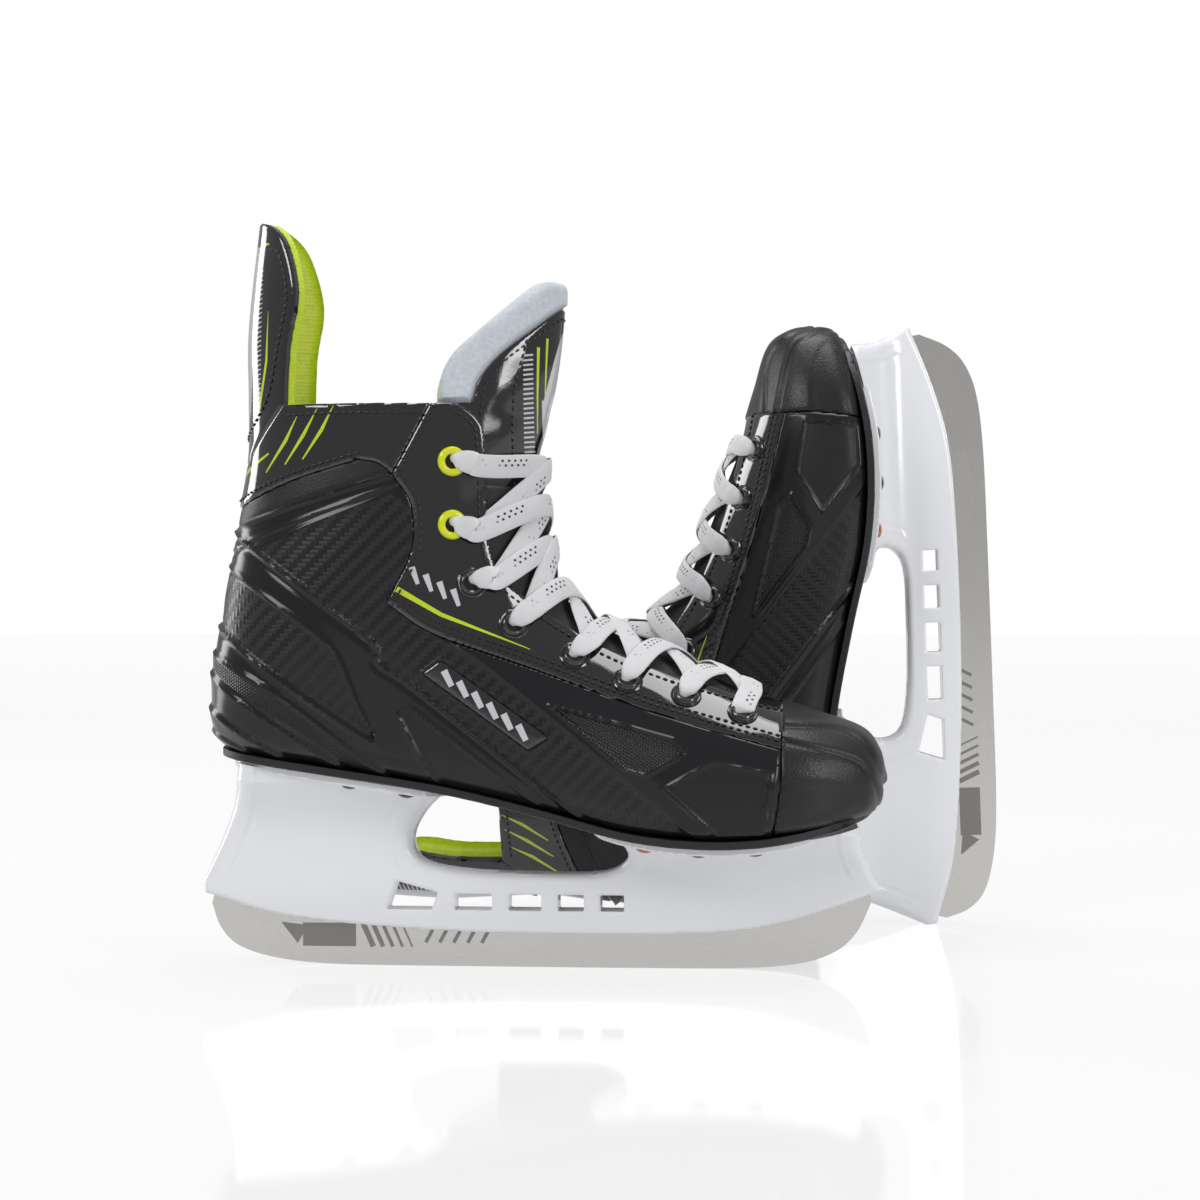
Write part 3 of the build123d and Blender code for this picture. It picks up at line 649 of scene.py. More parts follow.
def finish_patent(name, strokes, pale=(), felt_below=None):
    """High-gloss patent leather with printed lime strokes."""
    f = Finish(name, (0.006, 0.006, 0.008), 0.06, coat=1.0, coat_rough=0.02, specular=0.6)
    base = (0.006, 0.006, 0.008, 1)
    if strokes:
        base = f.mix(f.strokes(strokes), base, (*LIME, 1))
    if pale:
        base = f.mix(f.strokes(pale), base, (0.62, 0.63, 0.66, 1))
    if felt_below:
        felt = f.ramp(f.split(f.place)[2], felt_below - 0.001, felt_below + 0.001, 1.0, 0.0)
        fibres = f.group("fibres")
        base = f.mix(felt, base, f.mix(fibres.outputs["Fleck"], (0.012, 0.012, 0.013, 1),
                                       (0.060, 0.060, 0.062, 1)))
        f.rough(f.add(0.06, f.mul(felt, 0.8)))
        f.put(f.shader.inputs["Coat Weight"], f.sub(1.0, felt))
    f.color(base)
    slow = f.noise(f.place, 42.0, 1.0, 0.3)
    fine = f.noise(f.place, 1400.0, 2.0, 0.5)
    f.normal(f.bump(f.add(slow, f.mul(fine, 0.012)), 0.0016))
    return f.material


def finish_holder():
    """Gloss white moulding."""
    f = Finish("white_holder", (0.92, 0.93, 0.96), 0.16, coat=0.35, coat_rough=0.06)
    grain = f.group("grain", Scale=700.0)
    f.rough(f.add(0.13, f.mul(grain.outputs["Patches"], 0.10)))
    f.normal(f.bump(grain.outputs["Height"], 0.00003))
    return f.material


def finish_steel():
    """Ground runner steel, brushed along its length, with a plain etched band and strokes near the heel."""
    f = Finish("ground_steel", (0.56, 0.54, 0.51), 0.28, metal=1.0)
    long = f.node("ShaderNodeMapping", Vector=f.place, Scale=(14.0, 1.0, 900.0))
    brush = f.noise(long.outputs[0], 9.0, 6.0, 0.7)
    clouds = f.noise(f.place, 22.0, 4.0)
    etched = f.strokes([(-112, 18, -103, 13, 0.5, 9.0), (-103, 13, -80, 13, 10.0, 10.0)]
                       + [(-77 + 4.2 * k, 18.0, -72.5 + 4.2 * k, 8.0, 2.4 - 0.4 * k, 2.4 - 0.4 * k)
                          for k in range(5)]
                       + [(-50 + 6 * k, 10.0, -47 + 6 * k, 15.5, 1.6, 1.6) for k in range(5)])
    steel = f.mix(brush, (0.66, 0.645, 0.62, 1), (0.92, 0.90, 0.87, 1))
    f.color(f.mix(f.mul(etched, 0.75), steel, (0.16, 0.155, 0.15, 1)))
    rough = f.add(0.15, f.mul(brush, 0.12))
    f.rough(f.add(f.add(rough, f.mul(clouds, 0.08)), f.mul(etched, 0.2)))
    f.normal(f.bump(f.sub(brush, f.mul(etched, 0.6)), 0.00004))
    return f.material


def finish_felt(name, pale, dark, depth=0.0006, scale=1.0, edge=None):
    """Felt in two tones; edge is the colour of a ribbed bound edge."""
    f = Finish(name, pale, 0.92, sheen=0.35, specular=0.2)
    fibres = f.group("fibres", Scale=scale)
    color = f.mix(f.ramp(fibres.outputs["Fleck"], 0.35, 0.65), (*dark, 1), (*pale, 1))
    height = fibres.outputs["Height"]
    if edge:
        color = f.mix(f.split(f.attribute("zone"))[0], color, (*edge, 1))
        cord = f.math("SINE", f.mul(f.split(f.place)[2], 2 * math.pi / CORD_PITCH))
        height = f.add(height, f.mul(cord, 0.12))
    f.color(color)
    f.normal(f.bump(height, depth))
    return f.material


def finish_lace():
    """Flat white braid with two staggered rows of dark flecks and painted shade in the grooves between its
    ribs; runs on its own UV, in mm.
    """
    f = Finish("white_braid", (0.90, 0.90, 0.92), 0.85, sheen=0.25, specular=0.25)
    along = f.node("ShaderNodeUVMap", {"uv_map": "along"}).outputs[0]
    u, v, _ = f.split(along)
    rows = []
    for across, shift in ((0.5, 0.0), (2.4, 1.6)):
        beat = f.math("ABSOLUTE", f.sub(f.math("FLOORED_MODULO", f.add(u, shift), 3.2), 1.6))
        off = f.math("ABSOLUTE", f.sub(v, across))
        rows.append(f.mul(f.ramp(beat, 0.50, 0.66, 1.0, 0.0), f.ramp(off, 0.40, 0.54, 1.0, 0.0)))
    slow = f.node("ShaderNodeCombineXYZ", i0=f.mul(u, 0.05)).outputs[0]
    stretch = f.ramp(f.noise(slow, 1.0, 1.0), 0.50, 0.55)
    fleck = f.mul(f.add(rows[0], rows[1], clamp=True), stretch)
    out_v = f.math("ABSOLUTE", v)
    ribs = [f.math("SINE", f.mul(slant, 2 * math.pi / BRAID_PITCH))
            for slant in (f.add(u, out_v), f.sub(u, out_v))]
    knit = f.mul(*ribs)
    # Painted shade: the braid's white turns darker and bluer in the grooves between its ribs, where knit is
    # low.
    painted_groove_shade = f.ramp(knit, -1.0, 1.0, 0.86, 1.0)
    white = f.mix(painted_groove_shade, (0.74, 0.75, 0.80, 1), (0.93, 0.93, 0.95, 1))
    f.color(f.mix(fleck, white, (0.02, 0.02, 0.022, 1)))
    f.normal(f.bump(knit, 0.00012))
    return f.material


def finish_plain(name, color, rough, metal=0.0, coat=0.0, depth=0.00004, scale=900.0):
    """A small part's finish: its colour with slow wear in the roughness and a fine grain."""
    f = Finish(name, color, rough, metal, coat)
    grain = f.group("grain", Scale=scale)
    worn = f.ramp(grain.outputs["Patches"], 0.35, 0.7, 0.8, 1.15)
    f.color(f.mix(worn, tuple(c * 0.8 for c in color) + (1,), (*color, 1)))
    f.rough(f.mul(worn, rough))
    f.normal(f.bump(grain.outputs["Height"], depth))
    return f.material


# ---------------------------------------------------------------- lines and points on the boot
FORM_TREE = BVHTree.FromPolygons(
    [tuple(p) for p in HALF.reshape(-1, 3)],
    [(i * HALF.shape[1] + j, i * HALF.shape[1] + j + 1, (i + 1) * HALF.shape[1] + j + 1,
      (i + 1) * HALF.shape[1] + j)
     for i in range(HALF.shape[0] - 1) for j in range(HALF.shape[1] - 1)])


def drape(points, side, lift):
    """Side points laid on one side of the boot (+1 medial, -1 lateral): places and outward directions."""
    places, outs = [], []
    for x, z in points:
        hit, normal, _, _ = FORM_TREE.ray_cast(Vector((x, 90, z)), Vector((0, -1, 0)))
        if hit is None:
            continue
        if normal.y < 0:
            normal = -normal
        out = np.array([normal.x, side * normal.y, normal.z])
        places.append(np.array([hit.x, side * hit.y, hit.z]) + out * lift)
        outs.append(out)
    return np.array(places), np.array(outs)


def beside(points, gap):
    """A side path moved gap mm to its left."""
    pts = smooth_path(points, 12)
    run = np.gradient(pts, axis=0)
    run /= np.linalg.norm(run, axis=1, keepdims=True)
    return pts + gap * np.stack([-run[:, 1], run[:, 0]], 1)


def on_form(station, turn, lift):
    """Places and outward directions for section numbers and turns; over 90 degrees is the far side."""
    turn = np.asarray(turn, float)
    far = turn > math.pi / 2
    near = np.where(far, math.pi - turn, turn)
    places, outs = [], []
    for s, t, over, up in zip(station, near, far, lift):
        local = half_surface(np.array([s - 0.02, s + 0.02]),
                             np.array([t - 0.02, min(t + 0.02, math.pi / 2)]))
        out = np.cross(local[1, 0] - local[0, 0], local[0, 1] - local[0, 0])
        out /= np.linalg.norm(out)
        middle = half_surface(np.array([s]), np.array([t]))[0, 0]
        if np.dot(out, middle - np.array([middle[0] - 30, 0, middle[2] - 30])) < 0 and out[1] < 0:
            out = -out
        out = out if out[1] >= 0 or t > 1.5 else -out
        if over:
            middle, out = middle * FLIP, out * FLIP
        places.append(middle + out * up)
        outs.append(out)
    return np.array(places), np.array(outs)


def section_of(x, z):
    """Section number and turn of the form's upper half nearest to a side point."""
    upper = COLUMNS > -0.6
    d = (HALF[:, upper, 0] - x) ** 2 + (HALF[:, upper, 2] - z) ** 2
    i, j = np.unravel_index(d.argmin(), d.shape)
    return ROWS[i], COLUMNS[upper][j]


def swept(path, outs, section):
    """A closed form swept along a path; section(k) gives its (across, out) points at step k."""
    run = np.gradient(path, axis=0)
    run /= np.linalg.norm(run, axis=1, keepdims=True)
    across = np.cross(outs, run)
    across /= np.linalg.norm(across, axis=1, keepdims=True)
    up = np.cross(run, across)
    total = np.concatenate([[0], np.cumsum(np.linalg.norm(np.diff(path, axis=0), axis=1))])
    rings, marks = [], []
    for k in range(len(path)):
        ring = section(k)
        rings.append(path[k] + ring[:, :1] * across[k] + ring[:, 1:] * up[k])
        marks.append(np.stack([np.full(len(ring), total[k]), ring[:, 0]], 1))
    n = len(rings[0])
    faces = [(k * n + j, k * n + (j + 1) % n, (k + 1) * n + (j + 1) % n, (k + 1) * n + j)
             for k in range(len(path) - 1) for j in range(n)]
    faces += [tuple(reversed(range(n))), tuple((len(path) - 1) * n + j for j in range(n))]
    return np.vstack(rings), faces, np.vstack(marks)


def lathe(name, profile, turns=36):
    """A ring turned about Z from a closed loop of (radius, height) points."""
    points, faces = [], []
    n = len(profile)
    for k in range(turns):
        a = 2 * math.pi * k / turns
        points += [(r * math.cos(a), r * math.sin(a), h) for r, h in profile]
        m = (k + 1) % turns
        faces += [(k * n + j, m * n + j, m * n + (j + 1) % n, k * n + (j + 1) % n) for j in range(n)]
    mesh = bpy.data.meshes.new(name)
    mesh.from_pydata(points, [], faces)
    weld(mesh, 1e-4)
    return mesh


# ---------------------------------------------------------------- geometry node trees
def geometry_tree(name, **inputs):
    """A tree with these inputs after its geometry, its two ends and the inputs' identifiers."""
    tree = bpy.data.node_groups.new(name, "GeometryNodeTree")
    tree.interface.new_socket(name="Geometry", in_out="INPUT", socket_type="NodeSocketGeometry")
    ids = {}
    for label, kind in inputs.items():
        socket = tree.interface.new_socket(name=label, in_out="INPUT", socket_type="NodeSocket" + kind)
        ids[label] = socket.identifier
    tree.interface.new_socket(name="Geometry", in_out="OUTPUT", socket_type="NodeSocketGeometry")
    start, end = tree.nodes.new("NodeGroupInput"), tree.nodes.new("NodeGroupOutput")
    return tree, start, end, ids


def turned_to(w, ahead, out):
    """Rotation with X along ahead and Z towards out."""
    first = w.node("FunctionNodeAlignRotationToVector", {"axis": "X"}, Vector=ahead)
    second = w.node("FunctionNodeAlignRotationToVector", {"axis": "Z", "pivot_axis": "X"},
                    Rotation=first.outputs[0], Vector=out)
    return second.outputs[0]


def tree_stitches():
    """Rounded stitches every Spacing along an edge path that carries its outward direction."""
    tree, start, end, ids = geometry_tree("stitch_row", Spacing="Float", Length="Float", Thread="Float",
                                          Material="Material")
    w = Wiring(tree)
    curve = w.node("GeometryNodeMeshToCurve", Mesh=start.outputs["Geometry"])
    even = w.node("GeometryNodeResampleCurve", {"mode": "LENGTH"}, Curve=curve.outputs[0],
                  Length=start.outputs["Spacing"])
    bead = w.node("GeometryNodeMeshUVSphere", Segments=6, Rings=4, Radius=1.0)
    out = w.node("GeometryNodeInputNamedAttribute", {"data_type": "FLOAT_VECTOR"}, Name="out").outputs[0]
    ahead = w.node("GeometryNodeInputTangent").outputs[0]
    size = w.node("ShaderNodeCombineXYZ", i0=start.outputs["Length"], i1=start.outputs["Thread"],
                  i2=start.outputs["Thread"])
    spread = w.node("GeometryNodeInstanceOnPoints", Points=even.outputs[0], Instance=bead.outputs[0],
                    Rotation=turned_to(w, ahead, out), Scale=size.outputs[0])
    real = w.node("GeometryNodeRealizeInstances", Geometry=spread.outputs[0])
    paint = w.node("GeometryNodeSetMaterial", Geometry=real.outputs[0], Material=start.outputs["Material"])
    w.put(end.inputs[0], paint.outputs[0])
    return tree, ids


def tree_set_parts():
    """One turned part set square to the surface on every point."""
    tree, start, end, ids = geometry_tree("set_parts", Part="Object", Material="Material")
    w = Wiring(tree)
    part = w.node("GeometryNodeObjectInfo", Object=start.outputs["Part"])
    out = w.node("GeometryNodeInputNamedAttribute", {"data_type": "FLOAT_VECTOR"}, Name="out").outputs[0]
    turn = w.node("FunctionNodeAlignRotationToVector", {"axis": "Z"}, Vector=out).outputs[0]
    spread = w.node("GeometryNodeInstanceOnPoints", Points=start.outputs["Geometry"],
                    Instance=part.outputs["Geometry"],
                    Rotation=turn)
    real = w.node("GeometryNodeRealizeInstances", Geometry=spread.outputs[0])
    paint = w.node("GeometryNodeSetMaterial", Geometry=real.outputs[0], Material=start.outputs["Material"])
    w.put(end.inputs[0], paint.outputs[0])
    return tree, ids


TREES = {"stitches": tree_stitches(), "parts": tree_set_parts()}


def grown(name, kind, points, outs, edges, sharp=38, **values):
    """Runs one of the trees over points and gives the result as a plain local mesh."""
    seed = bpy.data.meshes.new(name + "_seed")
    seed.from_pydata([tuple(p) for p in points], edges, [])
    outward = seed.attributes.new("out", "FLOAT_VECTOR", "POINT")
    outward.data.foreach_set("vector", np.asarray(outs, np.float32).ravel())
    carrier = bpy.data.objects.new(name + "_seed", seed)
    bpy.context.scene.collection.objects.link(carrier)
    tree, ids = TREES[kind]
    nodes = carrier.modifiers.new("grow", "NODES")
    nodes.node_group = tree
    for label, value in values.items():
        nodes[ids[label]] = value
    bpy.context.view_layer.update()
    result = bpy.data.meshes.new_from_object(carrier.evaluated_get(bpy.context.evaluated_depsgraph_get()))
    carrier.modifiers.remove(nodes)
    bpy.data.objects.remove(carrier)
    points = np.zeros(len(result.vertices) * 3)
    result.vertices.foreach_get("co", points)
    return make_mesh(name, points.reshape(-1, 3), [tuple(p.vertices) for p in result.polygons], sharp=sharp)


def stitched(name, rows, thread, material, spacing=3.1, length=1.15):
    """Stitch rows as one mesh; each row is (side path, side, lift)."""
    points, outs, edges = [], [], []
    for path, side, lift in rows:
        p, n = drape(path, side, lift)
        edges += [(len(points) + k, len(points) + k + 1) for k in range(len(p) - 1)]
        points += list(p)
        outs += list(n)
    return grown(name, "stitches", points, outs, edges, Spacing=spacing, Length=length, Thread=thread,
                 Material=material)


def set_parts(name, points, outs, profile, material, turns=36):
    """One turned part on each point."""
    part = bpy.data.objects.new(name + "_part", lathe(name + "_part", profile, turns))
    bpy.context.scene.collection.objects.link(part)
    mesh = grown(name, "parts", points, outs, [], Part=part, Material=material)
    bpy.data.objects.remove(part)
    return mesh


# ---------------------------------------------------------------- moulded relief of the shell and toe
RIDGE_A = [(-150, 196), (-120, 178), (-68, 141), (-63, 130), (-47, 119), (18, 67), (30, 55)]
RIDGE_B = [(-150, 181), (-132, 170), (-105, 153), (-88, 141), (-80, 132), (-72, 113), (-66, 101)]
WINDOW_B = [(-150, 156), (-140, 147), (-128, 139), (-69, 98.5), (-66, 101)]
STRAKES = [[(-155, 147), (-141, 136), (-104, 117), (-60, 82), (-55, 76)],
           [(-155, 136), (-141, 127), (-98, 99), (-75, 83)],
           [(-155, 120), (-141, 112), (-98, 86), (-90, 80)],
           [(-155, 108), (-140, 102), (-111, 87), (-100, 78)]]
BAND_TOP = [(-150, 180), (-129, 186), (-62, 206), (-50, 210)]
BAND_LOW = [(-150, 172), (-121, 179), (-57, 202), (-48, 206)]
SMALL_RECESS = [(-55, 108.5), (-50, 111), (2, 70), (-40, 79)]
FRAME = [(-39, 141), (-21, 129), (6, 108), (48, 74), (64, 60), (69, 57.5), (97, 58.5), (101, 96),
         (48, 111), (0, 128)]
MESH_RECESS = [(7, 113), (57, 99.5), (62, 94), (46, 86), (38, 88)]
PENTAGON = [(54, 80), (73, 90.5), (96, 86), (93, 62.5), (75, 62)]
CARBON_1 = [(-117, 177), (-58, 200), (-49, 193), (-49, 176), (-59, 155), (-39, 141), (-21, 129), (6, 108),
            (48, 74),
            (64, 60), (20, 67), (-47, 119), (-63, 131), (-68, 141)]
CARBON_2 = [(-67, 101), (-73, 113), (-81, 132), (-90, 142), (-132, 168), (-140, 147), (-128, 139)]
MESH_STRAKE = [(-150, 141), (-137, 132), (-103, 114), (-64, 84), (-75, 85), (-98, 102), (-136, 125),
               (-150, 134)]
TOE_GROOVES = [[(95, 106), (103, 104.8), (124, 103), (134.5, 97), (141.8, 84.5), (146, 72)],
               [(95, 99), (104, 98.3), (129, 91.5), (137, 83.5), (141, 74), (141, 60)]]
TOE_PANEL = [(96, 85), (119, 83.5), (132, 79), (136, 73), (132, 68.5), (118, 66), (96, 64)]
TOE_WELT = [(95, 60.3), (119, 62), (137.7, 67), (150, 73)]


def bumps(x, z, path, marks):
    """Ribs and grooves that run along a side path: each mark is (offset to the left, width, height)."""
    d, side = to_segments(x, z, smooth_path(path, 6), False)
    offset = d * side
    return sum(height * np.exp(-(((offset - at) / width) ** 2)) for at, width, height in marks)


def strake(x, z, path, height, fade):
    """An overlapping plate: it stands out just under its upper edge and thins out below."""
    d, side = to_segments(x, z, smooth_path(path, 6), False)
    down = -d * side
    return height * step(down, -0.3, 0.8) * np.exp(-np.maximum(down, 0) / fade) * (d < 30)


def recess(x, z, loop, depth, lip=0.55, edge=1.1):
    """A sunk panel with a raised lip round it."""
    into = inside(x, z, np.asarray(loop, float))
    return -depth * step(into, -0.2, edge) + lip * np.exp(-(((into + 0.5) / 0.7) ** 2))


def shell_relief(x, z, side):
    """Ridges, strakes, frame and panels of a quarter; the badge's surround is on the outer side."""
    out = bumps(x, z, RIDGE_A, [(0, 0.75, 1.0), (-2.3, 0.9, -0.6), (1.7, 0.7, -0.3)])
    out += bumps(x, z, RIDGE_B, [(0, 0.75, 0.9), (-1.7, 0.8, -0.45)])
    out += bumps(x, z, WINDOW_B, [(0, 0.8, 0.9), (1.8, 0.9, -0.5)])
    out += bumps(x, z, BAND_TOP, [(0, 0.75, 0.8), (1.6, 0.8, -0.4)])
    out += bumps(x, z, BAND_LOW, [(0, 0.7, -0.5), (1.5, 0.7, 0.4)])
    for path in STRAKES:
        out += strake(x, z, path, 1.5, 5.0)
    out -= 0.55 * step(inside(x, z, np.array(CARBON_2, float)), 0, 2.0)
    out -= 0.35 * step(inside(x, z, np.array(CARBON_1, float)), 0, 2.5)
    frame_in = inside(x, z, np.array(FRAME, float))
    out += 1.0 * step(frame_in, -0.4, 1.1)
    for loop, depth in ((MESH_RECESS, 1.1), (PENTAGON, 0.9), (SMALL_RECESS, 0.8)):
        out += recess(x, z, loop, depth)
    badge = inside(x, z, np.array(BADGE, float))
    out += np.where(side < 0, 0.5 * np.exp(-(((badge + 1.0) / 0.7) ** 2)), 0)
    return out


def shell_zones(x, z):
    """Where a quarter has carbon weave, matte grain and fine mesh."""
    def mask(loop):
        return step(inside(x, z, np.array(loop, float)), -0.2, 0.8)
    weave = np.maximum(mask(CARBON_1) * (1 - mask(FRAME)), mask(CARBON_2))
    mesh = np.maximum(mask(MESH_RECESS), mask(MESH_STRAKE))
    d, side = to_segments(x, z, smooth_path(BAND_TOP, 6), False)
    upper = step(d * side, 0.5, 2.0) * (x < -45)
    d, side = to_segments(x, z, smooth_path(RIDGE_A, 6), False)
    lower = step(-d * side, 3, 6) * step(x, -58, -50)
    matte = np.maximum(np.maximum(mask(PENTAGON), upper), np.maximum(0.5 * lower, 0.7 * mask(SMALL_RECESS)))
    return np.stack([weave, matte, mesh], -1)


def toe_relief(x, z, side):
    """Grooves, sunk panel and welt of the toe cap."""
    out = sum(bumps(x, z, path, [(0, 0.8, -0.75), (2.2, 1.6, 0.35)]) for path in TOE_GROOVES)
    panel = inside(x, z, smooth_path(TOE_PANEL, 8))
    return out - 0.5 * step(panel, -0.5, 2.5) + bumps(x, z, TOE_WELT, [(0, 0.7, -0.6), (-1.8, 1.0, 0.4)])


# ---------------------------------------------------------------- materials
SHELL = finish_shell()
TOE = finish_toe()
# printed strokes: x and z of both ends, then the width at each
COLLAR_STROKES = [(-143, 194, -127, 208, 3.2, 2.4), (-127, 208, -112, 217, 2.2, 0.8)]
for foot_x, foot_z, bend_x, bend_z, tip_x, tip_z in ((-113, 209, -104, 222, -99, 232),
                                                     (-104, 212, -96, 224, -90, 235),
                                                     (-96, 214, -88, 226, -83, 236)):
    COLLAR_STROKES += [(foot_x, foot_z, bend_x, bend_z, 0.6, 1.6), (bend_x, bend_z, tip_x, tip_z, 1.6, 0.3)]
EYESTAY_LINE = [(-56, 160.5, -38, 150, 2.4, 1.7), (-38, 150, -2, 135.8, 1.7, 0.3)]
EYESTAY_BARS = [(-50 + 5.5 * k, 169.5 - 3 * k, -47.5 + 5.5 * k, 162.5 - 3 * k, 2.6, 1.6) for k in range(4)]
GUARD_LINES = [(-126, 221, -117.5, 236, 0.3, 1.2), (-117.5, 236, -114, 256, 1.2, 1.1),
               (-114, 256, -113.5, 277, 1.1, 0.2), (-118, 306, -114, 306, 2.6, 0.4)]
GUARD_PANEL = [(-134, 212, -127, 236, 8, 9), (-127, 235, -126, 272, 9, 10), (-126, 271, -121.5, 306, 10, 5)]
GUARD_HATCH = [(-121.5, z, -116.8, z + 0.9, 0.8, 0.5) for z in np.arange(232, 300, 2.0)]
TONGUE_LINES = [(-1.5, 226, -0.5, 262, 0.3, 1.2), (1.5, 236, 3, 266, 0.3, 0.9), (5, 255, 9, 268, 0.3, 1.4)]
TONGUE_PANEL = [(5.5, 200, 5.5, 240, 11, 10), (5.5, 239, 9.5, 270, 9, 1.5)]
TONGUE_HATCH = [(-6.5, z, -2.6, z + 0.7, 0.8, 0.8) for z in np.arange(206, 259, 2.0)]
BADGE_BARS = [(-36.6 + 6.1 * k, 127.2 - 4.4 * k, -33.4 + 6.1 * k, 120.8 - 4.4 * k, 2.9, 2.4)
              for k in range(6)]
PATENT_COLLAR = finish_patent("patent_collar", COLLAR_STROKES)
PATENT_EYESTAY = finish_patent("patent_eyestay", EYESTAY_LINE, EYESTAY_BARS)
PATENT_GUARD = finish_patent("patent_guard", GUARD_LINES, GUARD_PANEL + GUARD_HATCH)
PATENT_TONGUE = finish_patent("patent_tongue", TONGUE_LINES, TONGUE_PANEL + TONGUE_HATCH, felt_below=0.203)
BADGE_GLOSS = finish_patent("badge_gloss", [], BADGE_BARS)
HOLDER_WHITE = finish_holder()
STEEL = finish_steel()
LACE_WHITE = finish_lace()
LIME_FELT = finish_felt("lime_felt", (0.82, 0.92, 0.15), (0.70, 0.82, 0.09), 0.0004, 1.6,
                        edge=(0.62, 0.80, 0.02))
GREY_FELT = finish_felt("grey_felt", (0.78, 0.82, 0.88), (0.62, 0.66, 0.73), 0.0005, 2.2)
DARK_FELT = finish_felt("dark_lining", (0.020, 0.020, 0.022), (0.010, 0.010, 0.011))
THREAD = finish_plain("black_thread", (0.016, 0.016, 0.018), 0.42, scale=4000.0)
LIME_PLASTIC = finish_plain("lime_plastic", (0.74, 0.80, 0.0), 0.12, coat=0.6)
BLACK_ENAMEL = finish_plain("black_enamel", (0.012, 0.012, 0.013), 0.12, coat=0.8)
COPPER = finish_plain("copper", (0.62, 0.24, 0.13), 0.30, metal=1.0)
RUBBER = finish_plain("outsole_black", (0.014, 0.014, 0.015), 0.45, depth=0.00012, scale=700.0)
FOAM = finish_felt("footbed_foam", (0.05, 0.05, 0.055), (0.03, 0.03, 0.032))
BOARD_BROWN = finish_felt("insole_fibre", (0.35, 0.27, 0.18), (0.27, 0.20, 0.13))
BOLT_STEEL = finish_plain("bolt_steel", (0.55, 0.55, 0.56), 0.35, metal=1.0)

# ---------------------------------------------------------------- boot shell
quarter_loop = outline(QUARTER_BACK, QUARTER_TOP, QUARTER_STEP, EYESTAY_LOW, TOE_LINE,
                       [(96, 50), (-150, 50)], [(-150, 50), (-150, 188)])
eyestay_loop = outline([(101, 96), (102, 114)], EYESTAY_FRONT, EYESTAY_TOP, COLLAR_SEAM, QUARTER_STEP,
                       EYESTAY_LOW)
collar_loop = outline(QUARTER_BACK, QUARTER_TOP, COLLAR_SEAM[::-1], [(-43, RIM_Z), (-106, RIM_Z)],
                      GUARD_WEDGE[::-1],
                      [(-145, 207), (-150, 207)], [(-150, 207), (-150, 188)])
toe_loop = outline([(103, 135), (101, 96)], TOE_LINE, [(96, 50), (170, 50)], [(170, 50), (170, 135)],
                   [(170, 135), (103, 135)])
guard_loop = outline(GUARD_WEDGE, GUARD_EDGE, [(-124, 318), (-150, 318)], [(-150, 318), (-145, 207)])
guard_top_loop = outline([(-107, 234), (-106, RIM_Z)], GUARD_EDGE, [(-124, 318), (-150, 318)],
                         [(-150, 318), (-150, 234)])
tongue_low = [(97, 135), (93, 104)]
tongue_loop = outline(tongue_low, TONGUE_EDGE[::-1], [(-40, RIM_Z), (-25, 238)], TONGUE_COVER_EDGE[1:],
                      [(12, 279), (30, 279)],
                      [(30, 279), (40, 165)], [(40, 165), (97, 135)])
felt_loop = outline(tongue_low, TONGUE_EDGE[::-1], TONGUE_FELT_EDGE, [(12, 290), (30, 290)],
                    [(30, 290), (40, 165)],
                    [(40, 165), (97, 135)])


def boot_piece(name, sides, loop, thick, material, slot, nodes=(), body="boot", bend=None, fill=None,
               **shape):
    """A piece of the boot's wall on both skates, in place of the CAD node of its name or of other nodes."""
    both(name, wall(name, sides, loop, thick, **shape), material, nodes or [name], body, bend)


def pulled_leather(x, z, side):
    """Slow waves of the patent leather between the laces."""
    return 0.12 * np.sin(x * 0.21 + 1) * np.sin(z * 0.19)


for side in ("medial", "lateral"):
    boot_piece(f"quarter_{side}", side, quarter_loop, SHELL_WALL, SHELL, "shell_black", depth=QUARTER_DEPTH,
               roll=0.8, relief=shell_relief, zones=shell_zones, floor=WALL_FLOOR)
    boot_piece(f"eyestay_{side}", side, eyestay_loop, SHELL_WALL, PATENT_EYESTAY, "patent_black", roll=1.0,
               relief=pulled_leather)
boot_piece("toe_cap", "both", toe_loop, SHELL_WALL, TOE, "toe_black", roll=0.9, relief=toe_relief,
           floor=WALL_FLOOR)
boot_piece("collar", "both", collar_loop, SHELL_WALL, PATENT_COLLAR, "patent_black", roll=1.0)
boot_piece("side_badge", "lateral", np.array(BADGE, float), 0.9, BADGE_GLOSS, "badge_black", depth=-0.35,
           roll=0.5)


# ---------------------------------------------------------------- tendon guard, tongue
GUARD_BEND = ("guard_top_part", (-127.5, 228), (-127.5, 247))
TONGUE_BEND = ("tongue_top_part", (8, 226), (8, 248))
boot_piece("tendon_guard", "both", guard_loop, GUARD_WALL, PATENT_GUARD, "patent_black",
           ["guard_base", "guard_top"],
           bend=GUARD_BEND, roll=1.2)


def bound_edge(x, z):
    """Zone of the lining's bound edge, a few millimetres wide."""
    return np.stack([1 - step(inside(x, z, guard_top_loop), 2.6, 3.6), 0 * x, 0 * x], -1)


boot_piece("guard_lining", "both", guard_top_loop, 3.6, LIME_FELT, "lining_lime", body="guard_top_part",
           fill=0.5,
           depth=INNER_DEPTH, roll=1.6, wrinkle=0.2, zones=bound_edge)


def felt_relief(x, z, side):
    """The felt swells where it comes out of its patent cover."""
    cover = inside(x, z, tongue_loop)
    return np.where(z > 232, 2.6 * step(-cover, 0.2, 2.5), 0) + 0.3 * np.sin(x * 0.35) * np.sin(z * 0.22)


boot_piece("tongue_cover", "both", tongue_loop, COVER_WALL, PATENT_TONGUE, "patent_black",
           ["tongue_cover", "tongue_top_cover"], bend=TONGUE_BEND, depth=INNER_DEPTH, roll=0.8)
boot_piece("tongue_felt", "both", felt_loop, FELT_WALL, GREY_FELT, "felt_grey",
           ["tongue_felt", "tongue_top_felt"],
           bend=TONGUE_BEND, fill=0.6, depth=FELT_DEPTH, roll=3.0, relief=felt_relief)

